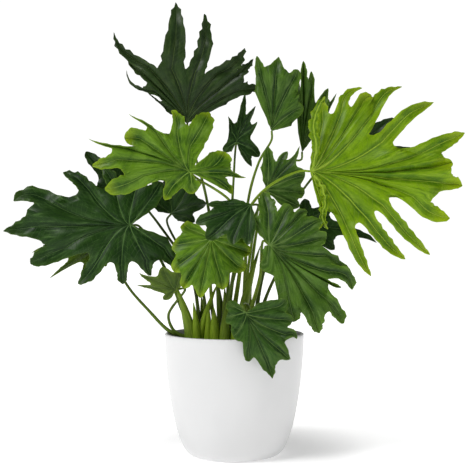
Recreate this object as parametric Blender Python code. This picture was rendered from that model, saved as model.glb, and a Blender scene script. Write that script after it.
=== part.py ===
"""Potted split-leaf philodendron in a white cover pot, at rest, +Z up.

The cover pot stands on its flat bottom, centred on the origin. A nursery pot
with drain holes stands inside it and holds the soil. Short crowns are seated in
pockets turned out of the soil, and each crown carries its leaf stalks. Every
stalk ends just under the blade that it carries.

Lengths below are in millimetres and angles in degrees; objects are made in
metres. A place on the plant is measured from the centre of the pot's rim.
"""

import math
from dataclasses import dataclass, field

import bmesh
import bpy
import numpy as np

MM = 0.001

# ---------------------------------------------------------------- driving sizes

POT_HEIGHT = 170.5
POT_RIM_RADIUS = 100.0
POT_FOOT_RADIUS = 62.0
POT_WALL = 4.5
POT_FLOOR = 6.0
POT_LIP_ROUND = 1.6
POT_FLOOR_ROUND = 6.0

NURSERY_WALL = 1.6
NURSERY_DROP = 19.0
NURSERY_SIDE_ROOM = 7.0
NURSERY_FOOT_ROOM = 4.0
NURSERY_LIP_OUT = 3.0
NURSERY_LIP_HEIGHT = 7.5
DRAIN_HOLE_RADIUS = 5.0
DRAIN_HOLE_INSET = 24.5
DRAIN_HOLES = 6
DRAIN_TURN = 13.0

SOIL_DROP = 4.0
SOIL_DOME = 4.5
CROWN_FIELD = 82.0

CROWN_HEIGHT = 34.0
CROWN_PROUD = 7.0
CROWN_TAPER = 18.0

FOLIAGE_SCALE = 1.0
BLADE_THICKNESS = 0.8
SINUS_ROUND = 14.0
STALK_END_RADIUS = 1.5
STALK_LEAD = 14.0
STALK_FOOT = 3.0
OVERHANG = 12.0
RIM_REACH = 8.0
MOUTH_RADIUS = 95.5

# -------------------------------------------------------------------- clearances

SEAT_GAP = 0.3
SOIL_GAP = 0.3
CROWN_GAP = 0.35
STALK_GAP = 0.35

# -------------------------------------------------------------------- resolution

TURN_STEPS = 48
CROWN_STEPS = 20
WALL_RINGS = 10
BODY_ROWS = 2
LOBE_ROWS = 4
STALK_RINGS = 13

LEAF_GREEN = (0.035, 0.12, 0.03)
LEAF_BRIGHT = (0.16, 0.34, 0.02)
STALK_GREEN = (0.14, 0.22, 0.05)
CROWN_TAN = (0.16, 0.13, 0.06)
SOIL_BROWN = (0.035, 0.022, 0.014)
NURSERY_BLACK = (0.02, 0.02, 0.02)
POT_WHITE = (0.86, 0.86, 0.86)


@dataclass
class Lobe:
    """One lobe of a blade.

    angle and reach place its tip from the blade's base: degrees to the left of
    the midrib, and the distance. half is half the lobe's width, and station how
    far its vein follows the midrib before it turns away. bow bends the lobe to
    the left in its middle, and hook turns its last stretch to the left. sharp
    runs from 0, a round tip, to 1, a drawn-out point.
    """

    angle: float
    reach: float
    half: float
    station: float = 0.0
    bow: float = 0.0
    hook: float = 0.0
    sharp: float = 0.5


@dataclass
class Blade:
    """A lobed blade.

    base is where the stalk meets it. aim is the midrib's direction and face the
    upper side's, each as (degrees anticlockwise from +X seen from the front,
    degrees from that plane towards the front). outline runs from the left basal
    corner round the tip to the right one: a pair (angle, reach) is a notch
    between two lobes or a basal corner. arch curls the blade down along the
    midrib and cross across it, in radians per metre. droop is how far the tip
    of a lobe bends down when it stands 100 mm beyond its notches. crown and
    slot say where the stalk is rooted, and route where it passes.
    """

    name: str
    base: tuple
    aim: tuple
    face: tuple
    outline: list
    tone: str = "dark"
    arch: float = 0.0
    cross: float = 3.0
    droop: float = 6.0
    over_rim: bool = False
    crown: str = "a"
    slot: int = 0
    route: list = field(default_factory=list)
    root_radius: float = 3.2
    arrive: float = 38.0


@dataclass
class Crown:
    """A short crown: its place on the soil, its radius and its stalk places."""

    x: float
    y: float
    radius: float
    ring: float
    slots: int
    turn: float = 0.0


CROWNS = {
    "a": Crown(-70.0, -6.0, 9.0, 4.6, 3, 90.0),
    "b": Crown(-45.0, -8.0, 12.0, 6.8, 4, 45.0),
    "c": Crown(-16.0, -4.0, 14.0, 9.6, 6, 0.0),
    "d": Crown(17.0, -2.0, 16.0, 11.6, 8, 22.5),
}

BLADES = [
    Blade(
        "top", (-70, 30, 308), (94, 5), (90, 82),
        outline=[
            (56, 36), Lobe(48, 76, 1.4), (44, 50), Lobe(45, 124, 4, 8, 5, -14, 0.8), (40.5, 84),
            Lobe(38.5, 137, 5, 14, 0, -8, 0.8), (35.5, 104), Lobe(35.5, 182, 8, 20, 4, -12, 0.7),
            (24.5, 92), Lobe(1.5, 183, 17, 40, -9, 2, 0.6), (-2.5, 80),
            Lobe(-13, 167, 12, 30, -5, 2, 0.5), (-24, 77), Lobe(-41.5, 146, 9, 22, -6, 4, 0.4),
            (-43, 98), Lobe(-49.5, 143, 7, 14, 0, 3, 0.7), (-55, 107), Lobe(-68, 122, 9, 8, 0, 0, 0.5),
            (-68, 64),
        ],
        arch=0.5, crown="c", slot=2, route=[(-26, 12, 90), (-42, 24, 200)],
    ),
    Blade(
        "upper_left", (-61, -50, 227), (150, 10), (95, 78),
        outline=[
            (163, 22), Lobe(132, 29, 9, 0, 0, 0, 0.2), (93, 25), Lobe(77, 53, 9, 4, 0, 0, 0.5),
            (50, 38), Lobe(41, 121, 14, 16, 4, 0, 0.2), (28, 96), Lobe(26, 136, 9, 30, 4, 4, 0.5),
            (14, 112), Lobe(11.5, 147, 3, 34, 0, -6, 0.9), (4.5, 84),
            Lobe(2.5, 102, 12, 26, 0, 0, 0.1), (-12, 84), Lobe(-15, 118, 3.5, 20, 0, -6, 0.9),
            (-31.5, 61), Lobe(-45, 93, 8, 14, -3, 3, 0.4), (-56, 67),
            Lobe(-80, 100, 17, 8, -3, 0, 0.3), (-96, 12), Lobe(-118, 60, 17, 0, 0, 0, 0.1), (-142, 58),
            Lobe(-153, 83, 3.5, 0, 0, 3, 0.8), (-158, 50), Lobe(-177, 68, 8, 0, 0, -3, 0.6),
            (-176, 25),
        ],
        tone="bright", arch=1.0, crown="c", slot=5,
        route=[(-2, -24, 80), (12, -36, 150), (-6, -42, 188)],
    ),
    Blade(
        "left", (-147, -20, 155), (182, 5), (90, 80),
        outline=[
            (159, 55), Lobe(138, 89, 10, 0, -3, 0, 0.3), (129, 66), Lobe(110, 78, 8, 6, -3, 0, 0.6),
            (90, 52), Lobe(80.5, 85, 8, 12, 0, 0, 0.25), (61, 60), Lobe(46, 112, 12, 20, 0, -3, 0.45),
            (31.5, 72), Lobe(18.5, 153, 14, 44, -3, -2, 0.2), (9.5, 127),
            Lobe(0, 182, 17, 70, 0, 0, 0.85), (-10.3, 148), Lobe(-14.5, 173, 15, 52, -5, 9, 0.35),
            (-30.5, 90), Lobe(-41.5, 131, 11, 24, 0, 5, 0.25), (-57, 67),
            Lobe(-66, 99, 10, 14, 0, 0, 0.4), (-84, 60), Lobe(-100, 84, 10, 8, 0, 0, 0.4), (-114, 62),
            Lobe(-125, 79, 12, 0, 0, 0, 0.2), (-145, 46),
        ],
        arch=0.8, crown="b", slot=2, root_radius=4.0, route=[(-72, -12, 30), (-92, -8, 78)],
    ),
    Blade(
        "right", (106, -40, 230), (-6, 5), (90, 82),
        outline=[
            (91, 64), Lobe(85, 108, 8, 6, 0, -3, 0.4), (75, 90), Lobe(65, 149, 8, 12, 4, -9, 0.55),
            (64, 112), Lobe(58.5, 148, 10, 18, 2, 0, 0.0), (56, 143),
            Lobe(51, 193, 9, 26, 3, -11, 0.5), (38.5, 97), Lobe(38, 215, 11, 40, 4, -8, 0.45),
            (20.5, 124), Lobe(21.5, 230, 12, 84, -2, -3, 0.5), (12, 186),
            Lobe(9.5, 198, 5, 96, 0, 0, 0.2), (6, 194), Lobe(0.5, 213, 10, 104, 0, -4, 0.4), (-5, 178),
            Lobe(-13, 204, 13, 92, -3, 7, 0.35), (-13.5, 116), Lobe(-29, 204, 8.5, 46, -1, 7, 0.35),
            (-27, 106), Lobe(-37, 181, 9.5, 24, 0, 6, 0.4), (-42, 99),
            Lobe(-54, 170, 9, 12, 0, 6, 0.4), (-61, 62), Lobe(-77, 84, 3.5, 4, 0, -6, 0.6), (-71, 46),
        ],
        tone="bright", arch=0.4, cross=1.8, crown="c", slot=0, root_radius=3.6,
        route=[(8, -8, 90), (12, -20, 158), (42, -48, 203)], arrive=14.0,
    ),
    Blade(
        "front_right", (47, -80, 126), (-45, 10), (100, 75),
        outline=[
            (178, 30), Lobe(166, 46, 9, 0, 0, 0, 0.3), (154, 40), Lobe(141, 79, 12, 0, 0, 0, 0.3),
            (122, 48), Lobe(106, 64, 10, 4, 0, 0, 0.3), (98, 58), Lobe(88.5, 74, 7, 6, 0, -2, 0.5),
            (85.5, 65), Lobe(73, 82, 9, 10, 0, 0, 0.4), (62, 71), Lobe(52.5, 79, 9, 14, 0, 0, 0.1),
            (45.5, 71), Lobe(27.5, 118, 6.5, 20, -3, 0, 0.5), (28, 87),
            Lobe(18.5, 129, 9, 28, 4, -7, 0.15), (14, 91), Lobe(15.5, 113, 2.4, 32, 0, 2, 0.3),
            (11.5, 95), Lobe(-1.5, 144, 9, 40, 0, -3, 0.15), (-5.5, 119),
            Lobe(-14.5, 137, 12, 36, 0, 3, 0.7), (-19, 103), Lobe(-26, 109, 14, 26, 0, 0, 0.1),
            (-36, 44), Lobe(-70, 30, 7, 0, 0, 0, 0.3), (-108, 14),
        ],
        arch=1.5, crown="d", slot=5, root_radius=4.2, route=[(26, -34, 44), (36, -52, 84)],
    ),
    Blade(
        "over_rim", (15, 0, 37), (-68, 5), (90, 80),
        outline=[
            (104, 20), Lobe(86, 57, 10, 2, -2, 0, 0.3), (68, 53), Lobe(57, 63, 8, 8, 0, 0, 0.3),
            (49, 58), Lobe(41, 76, 5, 14, 3, -3, 0.5), (30.5, 64), Lobe(22, 84, 9, 22, 0, 2, 0.85),
            (12, 76), Lobe(0.5, 93, 12, 34, 0, 0, 0.9), (-10.5, 60), Lobe(-18, 64, 7, 24, 0, 0, 0.4),
            (-28, 39), Lobe(-50, 35, 8, 8, 0, 0, 0.2), (-72, 25), Lobe(-100, 26, 8, 0, 0, 0, 0.1),
            (-122, 24), Lobe(-142, 27, 8, 0, 0, 0, 0.3), (-162, 15),
        ],
        arch=1.0, over_rim=True, crown="d", slot=6, root_radius=2.6, route=[(20, -50, 40)],
    ),
    Blade(
        "upper_middle", (55, 20, 295), (86, 5), (110, 70),
        outline=[
            (27, 64), Lobe(15.5, 114, 9, 20, 0, 0, 0.7), (7, 95), Lobe(-1, 110, 8, 30, 0, 0, 0.8),
            (-8.5, 92), Lobe(-19, 98, 9, 20, 0, 0, 0.2), (-33, 66), Lobe(-50, 58, 9, 8, 0, 0, 0.2),
            (-72, 30),
        ],
        arch=0.5, crown="d", slot=2, route=[(16, 8, 90), (20, 4, 190), (36, 10, 248)],
    ),
    Blade(
        "narrow", (102, 45, 267), (88, 5), (90, 75),
        outline=[
            (14, 30), Lobe(6, 113, 5, 20, 0, 0, 0.6), (3.2, 105), Lobe(1.5, 136, 5, 40, 0, 0, 0.6),
            (-1, 112), Lobe(-4, 121, 5, 30, 0, 0, 0.5), (-13, 76), Lobe(-20, 103, 6, 16, 0, 0, 0.7),
            (-24.5, 88), Lobe(-28, 102, 3, 10, 0, 0, 0.8), (-36, 56),
        ],
        crown="d", slot=1, root_radius=2.6, route=[(26, 16, 100), (48, 30, 204), (82, 40, 252)],
    ),
    Blade(
        "behind_right", (153, 60, 257), (22, 0), (90, 80),
        outline=[
            (120, 20), Lobe(100, 50, 10), (66, 36), Lobe(48, 70, 9, 8), (30, 50),
            Lobe(14, 112, 11, 20, 0, 0, 0.4), (0, 70), Lobe(-14, 127, 5, 12, 3, 0, 0.8), (-26, 58),
            Lobe(-50, 66, 9, 6), (-70, 36), Lobe(-95, 50, 10), (-120, 20),
        ],
        crown="d", slot=0, root_radius=2.8, route=[(44, 24, 90), (84, 44, 180), (124, 54, 236)],
    ),
    Blade(
        "small_back", (3, 50, 283), (79, 0), (90, 70),
        outline=[
            (165, 17), Lobe(138, 24, 6, 0, 0, 0, 0.2), (95, 14), Lobe(29, 42, 4, 6, -3, 0, 0.8),
            (11, 30), Lobe(1, 76, 5, 16, 0, 0, 0.7), (-9, 44), Lobe(-17, 62, 4, 10, 0, 0, 0.8),
            (-24, 37), Lobe(-35, 44, 4, 6, 0, 0, 0.8), (-64, 22), Lobe(-112, 41, 8, 0, 0, 0, 0.3),
            (-127, 34), Lobe(-137, 44, 5, 0, 0, 0, 0.7), (-150, 20),
        ],
        crown="c", slot=1, root_radius=2.6, route=[(-8, 16, 100), (-2, 40, 210)],
    ),
    Blade(
        "bright_middle", (45, -22, 204), (52, 8), (60, 70),
        outline=[
            (52, 34), Lobe(37, 63, 8, 6, 0, 0, 0.4), (17, 44), Lobe(9, 63, 6, 10, 0, 0, 0.5), (5, 52),
            Lobe(1, 79, 4, 14, 0, 0, 0.9), (-14, 56), Lobe(-33, 58, 10, 8, 0, 0, 0.2), (-46, 50),
            Lobe(-57, 55, 8, 4, 0, 0, 0.3), (-66, 46), Lobe(-78, 53, 8, 0, 0, 0, 0.3), (-96, 30),
        ],
        tone="bright", crown="d", slot=4, root_radius=2.8, route=[(18, -16, 80), (30, -14, 160)],
    ),
    Blade(
        "dark_middle", (24, -62, 182), (200, 15), (110, 65),
        outline=[
            (76, 34), Lobe(60, 62, 8, 2), (50, 56), Lobe(43, 68, 8, 6), (30, 60),
            Lobe(17, 82, 10, 12, 0, 0, 0.3), (5, 72), Lobe(-4, 82, 8, 18, 0, 0, 0.4), (-12, 56),
            Lobe(-22, 62, 6, 8), (-42, 28),
        ],
        arch=2.0, crown="c", slot=4, root_radius=2.8, route=[(-2, -30, 76), (16, -38, 140)],
    ),
    Blade(
        "bright_fan", (-32, -45, 136), (262, 10), (90, 75),
        outline=[
            (118, 32), Lobe(98, 54, 9, 0, 0, 0, 0.3), (88, 46), Lobe(77, 58, 9, 2, 0, 0, 0.3),
            (67, 52), Lobe(56, 64, 9, 4, 0, 0, 0.4), (36, 56), Lobe(20, 74, 9, 8, 0, 0, 0.5),
            (9.5, 65), Lobe(-2.5, 85, 9, 14, 0, 0, 0.7), (-14, 71), Lobe(-22, 80, 8, 10, 0, 0, 0.3),
            (-30, 66), Lobe(-40, 70, 8, 6, 0, 0, 0.3), (-56, 54), Lobe(-76, 54, 9, 2, 0, 0, 0.2),
            (-91, 42), Lobe(-110, 46, 9, 0, 0, 0, 0.2), (-130, 26),
        ],
        tone="bright", arch=1.5, crown="c", slot=3, root_radius=3.0, route=[(-32, -14, 40), (-34, -22, 90)],
    ),
    Blade(
        "back_left", (-92, 0, 172), (40, 0), (100, 70),
        outline=[
            (130, 20), Lobe(100, 44, 8), (84, 34), Lobe(66, 54, 9, 6), (44, 40),
            Lobe(8, 66, 10, 12, 0, 0, 0.4), (-9, 46), Lobe(-25, 54, 8, 6), (-40, 34), Lobe(-60, 38, 7),
            (-86, 16),
        ],
        crown="b", slot=0, root_radius=2.4, route=[(-46, 2, 60), (-76, 6, 116)],
    ),
    Blade(
        "olive_low", (-82, -30, 63), (160, 0), (250, 60),
        outline=[
            (80, 14), Lobe(60, 26, 5), (44, 18), Lobe(17, 57, 4.5, 8, 0, 3, 0.8), (6, 37),
            Lobe(-6.5, 57, 4.5, 14, 0, -3, 0.8), (-21, 34), Lobe(-45, 40, 7, 6), (-66, 29),
            Lobe(-95, 37, 7, 0, 0, 0, 0.3), (-120, 14),
        ],
        crown="a", slot=1, root_radius=2.2, route=[(-88, -10, 6), (-94, -12, 27)],
    ),
    Blade(
        "far_left", (-156, 20, 211), (140, 0), (90, 75),
        outline=[
            (120, 20), Lobe(100, 44, 9), (72, 34), Lobe(50, 60, 9, 6), (32, 46),
            Lobe(-1, 84, 10, 14, 0, 0, 0.2), (-22, 48), Lobe(-38, 64, 9, 6), (-56, 42),
            Lobe(-80, 50, 9), (-110, 20),
        ],
        crown="b", slot=1, root_radius=2.6, route=[(-62, 14, 80), (-110, 18, 156)],
    ),
    Blade(
        "low_left", (-192, 30, 130), (195, 0), (90, 70),
        outline=[
            (110, 14), Lobe(80, 36, 5), (60, 28), Lobe(40, 58, 6, 4, 0, -3, 0.6), (28, 44),
            Lobe(17.5, 97, 5, 8, 3, 4, 0.9), (6, 58), Lobe(-8, 110, 5, 12, -3, 6, 0.7), (-21, 56),
            Lobe(-35, 60, 6, 6), (-60, 32), Lobe(-90, 38, 7), (-120, 14),
        ],
        crown="a", slot=0, root_radius=2.4, route=[(-93, 0, 2), (-122, 2, 30), (-160, 12, 74)],
    ),
    Blade(
        "behind_front", (99, 45, 162), (-12, 0), (90, 70),
        outline=[
            (110, 16), Lobe(90, 40, 9), (64, 30), Lobe(42, 60, 9, 6), (22, 46),
            Lobe(-3, 119, 10, 20, 3, 0, 0.75), (-15, 58), Lobe(-28, 66, 8, 8), (-44, 42),
            Lobe(-70, 48, 9), (-100, 16),
        ],
        crown="d", slot=7, root_radius=2.8, route=[(46, 10, 50), (74, 30, 112)],
    ),
]


# ------------------------------------------------------------------ vector helpers


def unit(vector):
    """The vector at length one."""
    vector = np.asarray(vector, float)
    return vector / np.linalg.norm(vector)


def heading(clock, toward):
    """The direction at clock degrees from +X seen from the front, turned towards the front."""
    clock, toward = math.radians(clock), math.radians(toward)
    flat = math.cos(toward)
    return np.array([math.cos(clock) * flat, -math.sin(toward), math.sin(clock) * flat])


def blade_axes(blade):
    """The blade's midrib, left and upper directions."""
    along = heading(*blade.aim)
    facing = heading(*blade.face)
    up = unit(facing - np.dot(facing, along) * along)
    return along, np.cross(up, along), up


def rim_place(point):
    """A place measured from the centre of the rim, as one measured from the origin.

    Foliage keeps its own scale, but where a stalk passes low over the rim, its
    place across follows the rim instead, so that the stalk clears the lip.
    """
    point = np.asarray(point, float)
    scale = np.full(3, FOLIAGE_SCALE)
    if 0.0 <= point[2] < RIM_REACH:
        scale = np.array([rim_scale(), rim_scale(), 1.0])
    return point * scale + np.array([0.0, 0.0, POT_HEIGHT])


def rim_scale():
    """How much wider the pot's mouth is than the one that the low stalks were laid over."""
    return (POT_RIM_RADIUS - POT_WALL) / MOUTH_RADIUS


def blade_base(blade):
    """Where the stalk meets the blade."""
    place = rim_place(blade.base)
    if blade.over_rim:
        place[1] = -POT_RIM_RADIUS - OVERHANG
    return place


# --------------------------------------------------------------------- blade shape


def polar(angle, reach):
    """A place in the blade's plane, angle degrees to the left of the midrib."""
    return reach * np.array([math.cos(math.radians(angle)), math.sin(math.radians(angle))])


def body_curve(station, end, shares):
    """A line from the base that follows the midrib up to a station, then turns to its end."""
    shares = shares[:, None]
    corner = np.array([station, 0.0])
    return 2.0 * shares * (1.0 - shares) * corner + shares**2 * end


def lobe_curve(lobe, middle, shares):
    """The free part of a lobe's vein from its root to its tip, and the direction to its left there."""
    tip = polar(lobe.angle, lobe.reach)
    chord = tip - middle
    length = np.linalg.norm(chord)
    side = np.array([-chord[1], chord[0]]) / length
    ahead = unit(middle - np.array([lobe.station, 0.0]))
    control = middle + 0.5 * length * unit(ahead + chord / length)
    shares = shares[:, None]
    points = (1.0 - shares) ** 2 * middle + 2.0 * shares * (1.0 - shares) * control + shares**2 * tip
    points = points + side * (4.0 * lobe.bow * shares * (1.0 - shares) + lobe.hook * (shares**4 - shares))
    tangent = 2.0 * (1.0 - shares) * (control - middle) + 2.0 * shares * (tip - control)
    tangent = tangent + side * (4.0 * lobe.bow * (1.0 - 2.0 * shares) + lobe.hook * (4.0 * shares**3 - 1.0))
    tangent = tangent / np.linalg.norm(tangent, axis=1, keepdims=True)
    return points, np.stack([-tangent[:, 1], tangent[:, 0]], axis=1)


def lobe_width(shares, sharp):
    """The share of a lobe's half width left at each share of its free length."""
    return (1.0 - shares ** (5.0 - 4.0 * sharp)) ** (0.6 + 0.4 * sharp)


def lobe_edge(lobe, middle, notch, way, vein, left, shares):
    """The free edge of a lobe on one side: round out of the notch, then beside the vein."""
    reach = np.linalg.norm(polar(lobe.angle, lobe.reach) - middle)
    offset = notch - middle
    root = way * float(np.dot(offset, left[0]))
    slip = offset - way * left[0] * root
    turn = np.clip(shares * reach / SINUS_ROUND, 0.0, 1.0)
    swell = np.sqrt(1.0 - (1.0 - turn) ** 2)
    width = (root + (lobe.half - root) * swell) * lobe_width(shares, lobe.sharp)
    return vein + way * left * width[:, None] + slip * ((1.0 - shares) ** 3)[:, None]


def blade_plan(blade):
    """Each lobe's strip in the blade's plane: left edge, vein, right edge by rows; and its height."""
    lobes = blade.outline[1::2]
    notches = [polar(*notch) for notch in blade.outline[0::2]]
    stations = [lobe.station for lobe in lobes]
    starts = [0.0] + [0.5 * (a + b) for a, b in zip(stations, stations[1:])] + [0.0]
    inside = np.arange(BODY_ROWS + 1) / BODY_ROWS
    free = 0.5 - 0.5 * np.cos(math.pi * np.arange(1, LOBE_ROWS + 1) / LOBE_ROWS)
    strips = []
    for index, lobe in enumerate(lobes):
        before, after = notches[index], notches[index + 1]
        middle = 0.5 * (before + after)
        vein, left = lobe_curve(lobe, middle, np.concatenate([[0.0], free]))
        lines = []
        for way, notch, start in ((1, before, starts[index]), (-1, after, starts[index + 1])):
            edge = lobe_edge(lobe, middle, notch, way, vein, left, np.concatenate([[0.0], free]))
            lines.append(np.concatenate([body_curve(start, notch, inside), edge[1:]]))
        lines.insert(1, np.concatenate([body_curve(lobe.station, middle, inside), vein[1:]]))
        beyond = np.linalg.norm(polar(lobe.angle, lobe.reach) - middle) / 100.0
        drop = -blade.droop * (beyond * np.concatenate([np.zeros(BODY_ROWS + 1), free])) ** 2
        strips.append((np.stack(lines), np.broadcast_to(drop, (3, drop.size))))
    return strips


def bend(blade, along, across, raised):
    """Curls the flat blade down across its midrib and along it."""
    curl = blade.cross / 1000.0
    raised, across = (
        raised * np.cos(curl * across) - (1.0 - np.cos(curl * across)) / curl,
        np.sin(curl * across) / curl,
    )
    if blade.arch:
        curl = blade.arch / 1000.0
        raised, along = (
            np.cos(curl * along) * (1.0 / curl + raised) - 1.0 / curl,
            np.sin(curl * along) * (1.0 / curl + raised),
        )
    return along, across, raised


def blade_sheet(blade):
    """The blade's middle surface, as points measured from its base and faces, welded where strips meet."""
    forward, left, up = blade_axes(blade)
    points, faces, count = [], [], 0
    for strip, height in blade_plan(blade):
        along, across, raised = bend(blade, strip[..., 0], strip[..., 1], height)
        place = along[..., None] * forward + across[..., None] * left + raised[..., None] * up
        points.append((place * FOLIAGE_SCALE).reshape(-1, 3))
        index = count + np.arange(place.shape[0] * place.shape[1]).reshape(place.shape[:2])
        quads = np.stack([index[:-1, :-1], index[1:, :-1], index[1:, 1:], index[:-1, 1:]], axis=-1)
        faces.append(quads.reshape(-1, 4))
        count += index.size
    points, faces = np.concatenate(points), np.concatenate(faces)
    _, first, welded = np.unique(np.round(points, 2), axis=0, return_index=True, return_inverse=True)
    kept = []
    for face in welded.reshape(-1)[faces]:
        corners = list(dict.fromkeys(face.tolist()))
        if len(corners) > 2:
            kept.append(corners)
    return points[first], kept


# --------------------------------------------------------------------- stalk shape


def smooth_path(points, count):
    """A smooth curve through the points, as evenly spread places along it."""
    points = np.asarray(points, float)
    spans = np.sqrt(np.linalg.norm(np.diff(points, axis=0), axis=1))
    knots = np.concatenate([[0.0], np.cumsum(spans)])
    padded = np.concatenate([[2 * points[0] - points[1]], points, [2 * points[-1] - points[-2]]])
    times = np.concatenate([[-spans[0]], knots, [knots[-1] + spans[-1]]])
    fine = []
    for index in range(1, len(padded) - 2):
        a, b, c, d = padded[index - 1 : index + 3]
        ta, tb, tc, td = times[index - 1 : index + 3]
        t = np.linspace(tb, tc, 24, endpoint=index == len(padded) - 3)[:, None]
        ab = a + (b - a) * (t - ta) / (tb - ta)
        bc = b + (c - b) * (t - tb) / (tc - tb)
        cd = c + (d - c) * (t - tc) / (td - tc)
        abc = ab + (bc - ab) * (t - ta) / (tc - ta)
        bcd = bc + (cd - bc) * (t - tb) / (td - tb)
        fine.append(abc + (bcd - abc) * (t - tb) / (tc - tb))
    fine = np.concatenate(fine)
    length = np.concatenate([[0.0], np.cumsum(np.linalg.norm(np.diff(fine, axis=0), axis=1))])
    wanted = np.linspace(0.0, length[-1], count)
    return np.stack([np.interp(wanted, length, fine[:, axis]) for axis in range(3)], axis=1)


def soil_edge():
    """The soil's radius and height at the edge of its domed top."""
    height = POT_HEIGHT - NURSERY_DROP - SOIL_DROP - SOIL_DOME
    return nursery_inside(height) - 1.0 - SOIL_GAP, height


def crown_scale():
    """How much larger the crowns are than on a soil of radius CROWN_FIELD, for which CROWNS is written."""
    return soil_edge()[0] / CROWN_FIELD


def sized_crown(name):
    """A crown whose place and radii keep their share of the soil."""
    crown, scale = CROWNS[name], crown_scale()
    return Crown(
        crown.x * scale, crown.y * scale, crown.radius * scale, crown.ring * scale, crown.slots, crown.turn
    )


def crown_top():
    """The height of every crown's flat top."""
    return POT_HEIGHT - NURSERY_DROP - SOIL_DROP + CROWN_PROUD


def stalk_path(blade):
    """The stalk's centre line, from its crown to just under its blade."""
    crown = sized_crown(blade.crown)
    turn = math.radians(crown.turn + 360.0 * blade.slot / crown.slots)
    out = crown.ring * np.array([math.cos(turn), math.sin(turn)])
    root = np.array([crown.x + out[0], crown.y + out[1], crown_top() + CROWN_GAP])
    forward, _, up = blade_axes(blade)
    steep = math.radians(blade.arrive)
    arrival = unit(up * math.sin(steep) + forward * math.cos(steep))
    drop = BLADE_THICKNESS / 2 + STALK_GAP + STALK_END_RADIUS * math.cos(steep)
    end = blade_base(blade) - up * drop
    middle = [rim_place(point) for point in blade.route]
    upright = np.array([0.0, 0.0, STALK_FOOT])
    through = [root + upright, root + 3.0 * upright, *middle, end - arrival * STALK_LEAD, end]
    return np.concatenate([[root], smooth_path(through, STALK_RINGS - 1)])


def stalk_radii(blade):
    """The stalk's radius at each ring: thick at the crown, thinning to the blade."""
    share = np.linspace(0.0, 1.0, STALK_RINGS)
    root = blade.root_radius * crown_scale()
    slim = STALK_END_RADIUS + 0.25 * (root - STALK_END_RADIUS) * (1.0 - share)
    return slim + (root - slim[0]) * (1.0 - share) ** 4


# ---------------------------------------------------------------- turned profiles
# Each profile is a list of (radius, height) points that leaves the axis at the top,
# runs down the outer side and meets the axis again at the bottom.


def pot_outside_radius(height):
    """The cover pot's outer radius at a height: a bowl that flares from its foot to an upright rim."""
    share = 1.0 - min(max(height / POT_HEIGHT, 0.0), 1.0)
    return POT_FOOT_RADIUS + (POT_RIM_RADIUS - POT_FOOT_RADIUS) * (1.0 - share**1.65) ** 0.52


def pot_inside_radius(height):
    """The cover pot's inner radius at a height."""
    return pot_outside_radius(height) - POT_WALL


def cover_pot_profile():
    """The cover pot: floor, inner wall, rounded lip, outer wall and foot."""
    low = POT_FLOOR + POT_FLOOR_ROUND
    high = POT_HEIGHT - POT_LIP_ROUND
    shares = np.linspace(0.0, 1.0, WALL_RINGS)
    inside = [(pot_inside_radius(z), z) for z in (low + (high - low) * shares**1.4).tolist()]
    outside = [(pot_outside_radius(z), z) for z in (high * shares[::-1] ** 2.2).tolist()]
    corner = inside[0][0]
    floor = [
        (0.0, POT_FLOOR), (corner - POT_FLOOR_ROUND, POT_FLOOR), (corner - 0.3 * POT_FLOOR_ROUND, low - 4.0),
    ]
    lip = [
        (POT_RIM_RADIUS - POT_WALL + 0.3 * POT_LIP_ROUND, POT_HEIGHT - 0.3 * POT_LIP_ROUND),
        (POT_RIM_RADIUS - POT_WALL + POT_LIP_ROUND, POT_HEIGHT),
        (POT_RIM_RADIUS - POT_LIP_ROUND, POT_HEIGHT),
        (POT_RIM_RADIUS - 0.3 * POT_LIP_ROUND, POT_HEIGHT - 0.3 * POT_LIP_ROUND),
    ]
    return floor + inside + lip + outside + [(0.0, 0.0)]


def nursery_radii():
    """The nursery pot's outer radius at its foot and at its lip."""
    foot = pot_inside_radius(POT_FLOOR + POT_FLOOR_ROUND) - POT_FLOOR_ROUND - NURSERY_FOOT_ROOM
    return foot, pot_inside_radius(POT_HEIGHT - NURSERY_DROP) - NURSERY_SIDE_ROOM


def nursery_profile():
    """The nursery pot, with a rolled lip."""
    foot, lip = nursery_radii()
    low = POT_FLOOR + SEAT_GAP
    high = POT_HEIGHT - NURSERY_DROP
    neck = lip - NURSERY_LIP_OUT
    under = high - NURSERY_LIP_HEIGHT
    wall = NURSERY_WALL
    return [
        (0.0, low + wall), (foot - 3.0 - wall, low + wall), (foot - wall, low + 3.5),
        (neck - wall, under - 1.0),
        (neck, high), (lip - 0.8, high), (lip, high - 0.8), (lip, under), (neck, under - 0.5),
        (foot, low + 2.0), (foot - 2.0, low), (0.0, low),
    ]


def nursery_inside(height):
    """The nursery pot's inner radius at a height below its lip."""
    foot, lip = nursery_radii()
    low = POT_FLOOR + SEAT_GAP + 3.5
    high = POT_HEIGHT - NURSERY_DROP - NURSERY_LIP_HEIGHT - 1.0
    return foot - NURSERY_WALL + (lip - NURSERY_LIP_OUT - foot) * (height - low) / (high - low)


def soil_profile():
    """The soil, a little domed, filling the nursery pot."""
    foot, _ = nursery_radii()
    low = POT_FLOOR + SEAT_GAP + NURSERY_WALL + SOIL_GAP
    radius, edge = soil_edge()
    top = edge + SOIL_DOME
    dome = [(radius * share, top - SOIL_DOME * share**4) for share in (0.0, 0.5, 0.75, 0.9, 1.0)]
    return dome + [
        (foot - 1.0 - NURSERY_WALL - SOIL_GAP, low + 5.0), (foot - 6.0 - NURSERY_WALL, low), (0.0, low),
    ]


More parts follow.
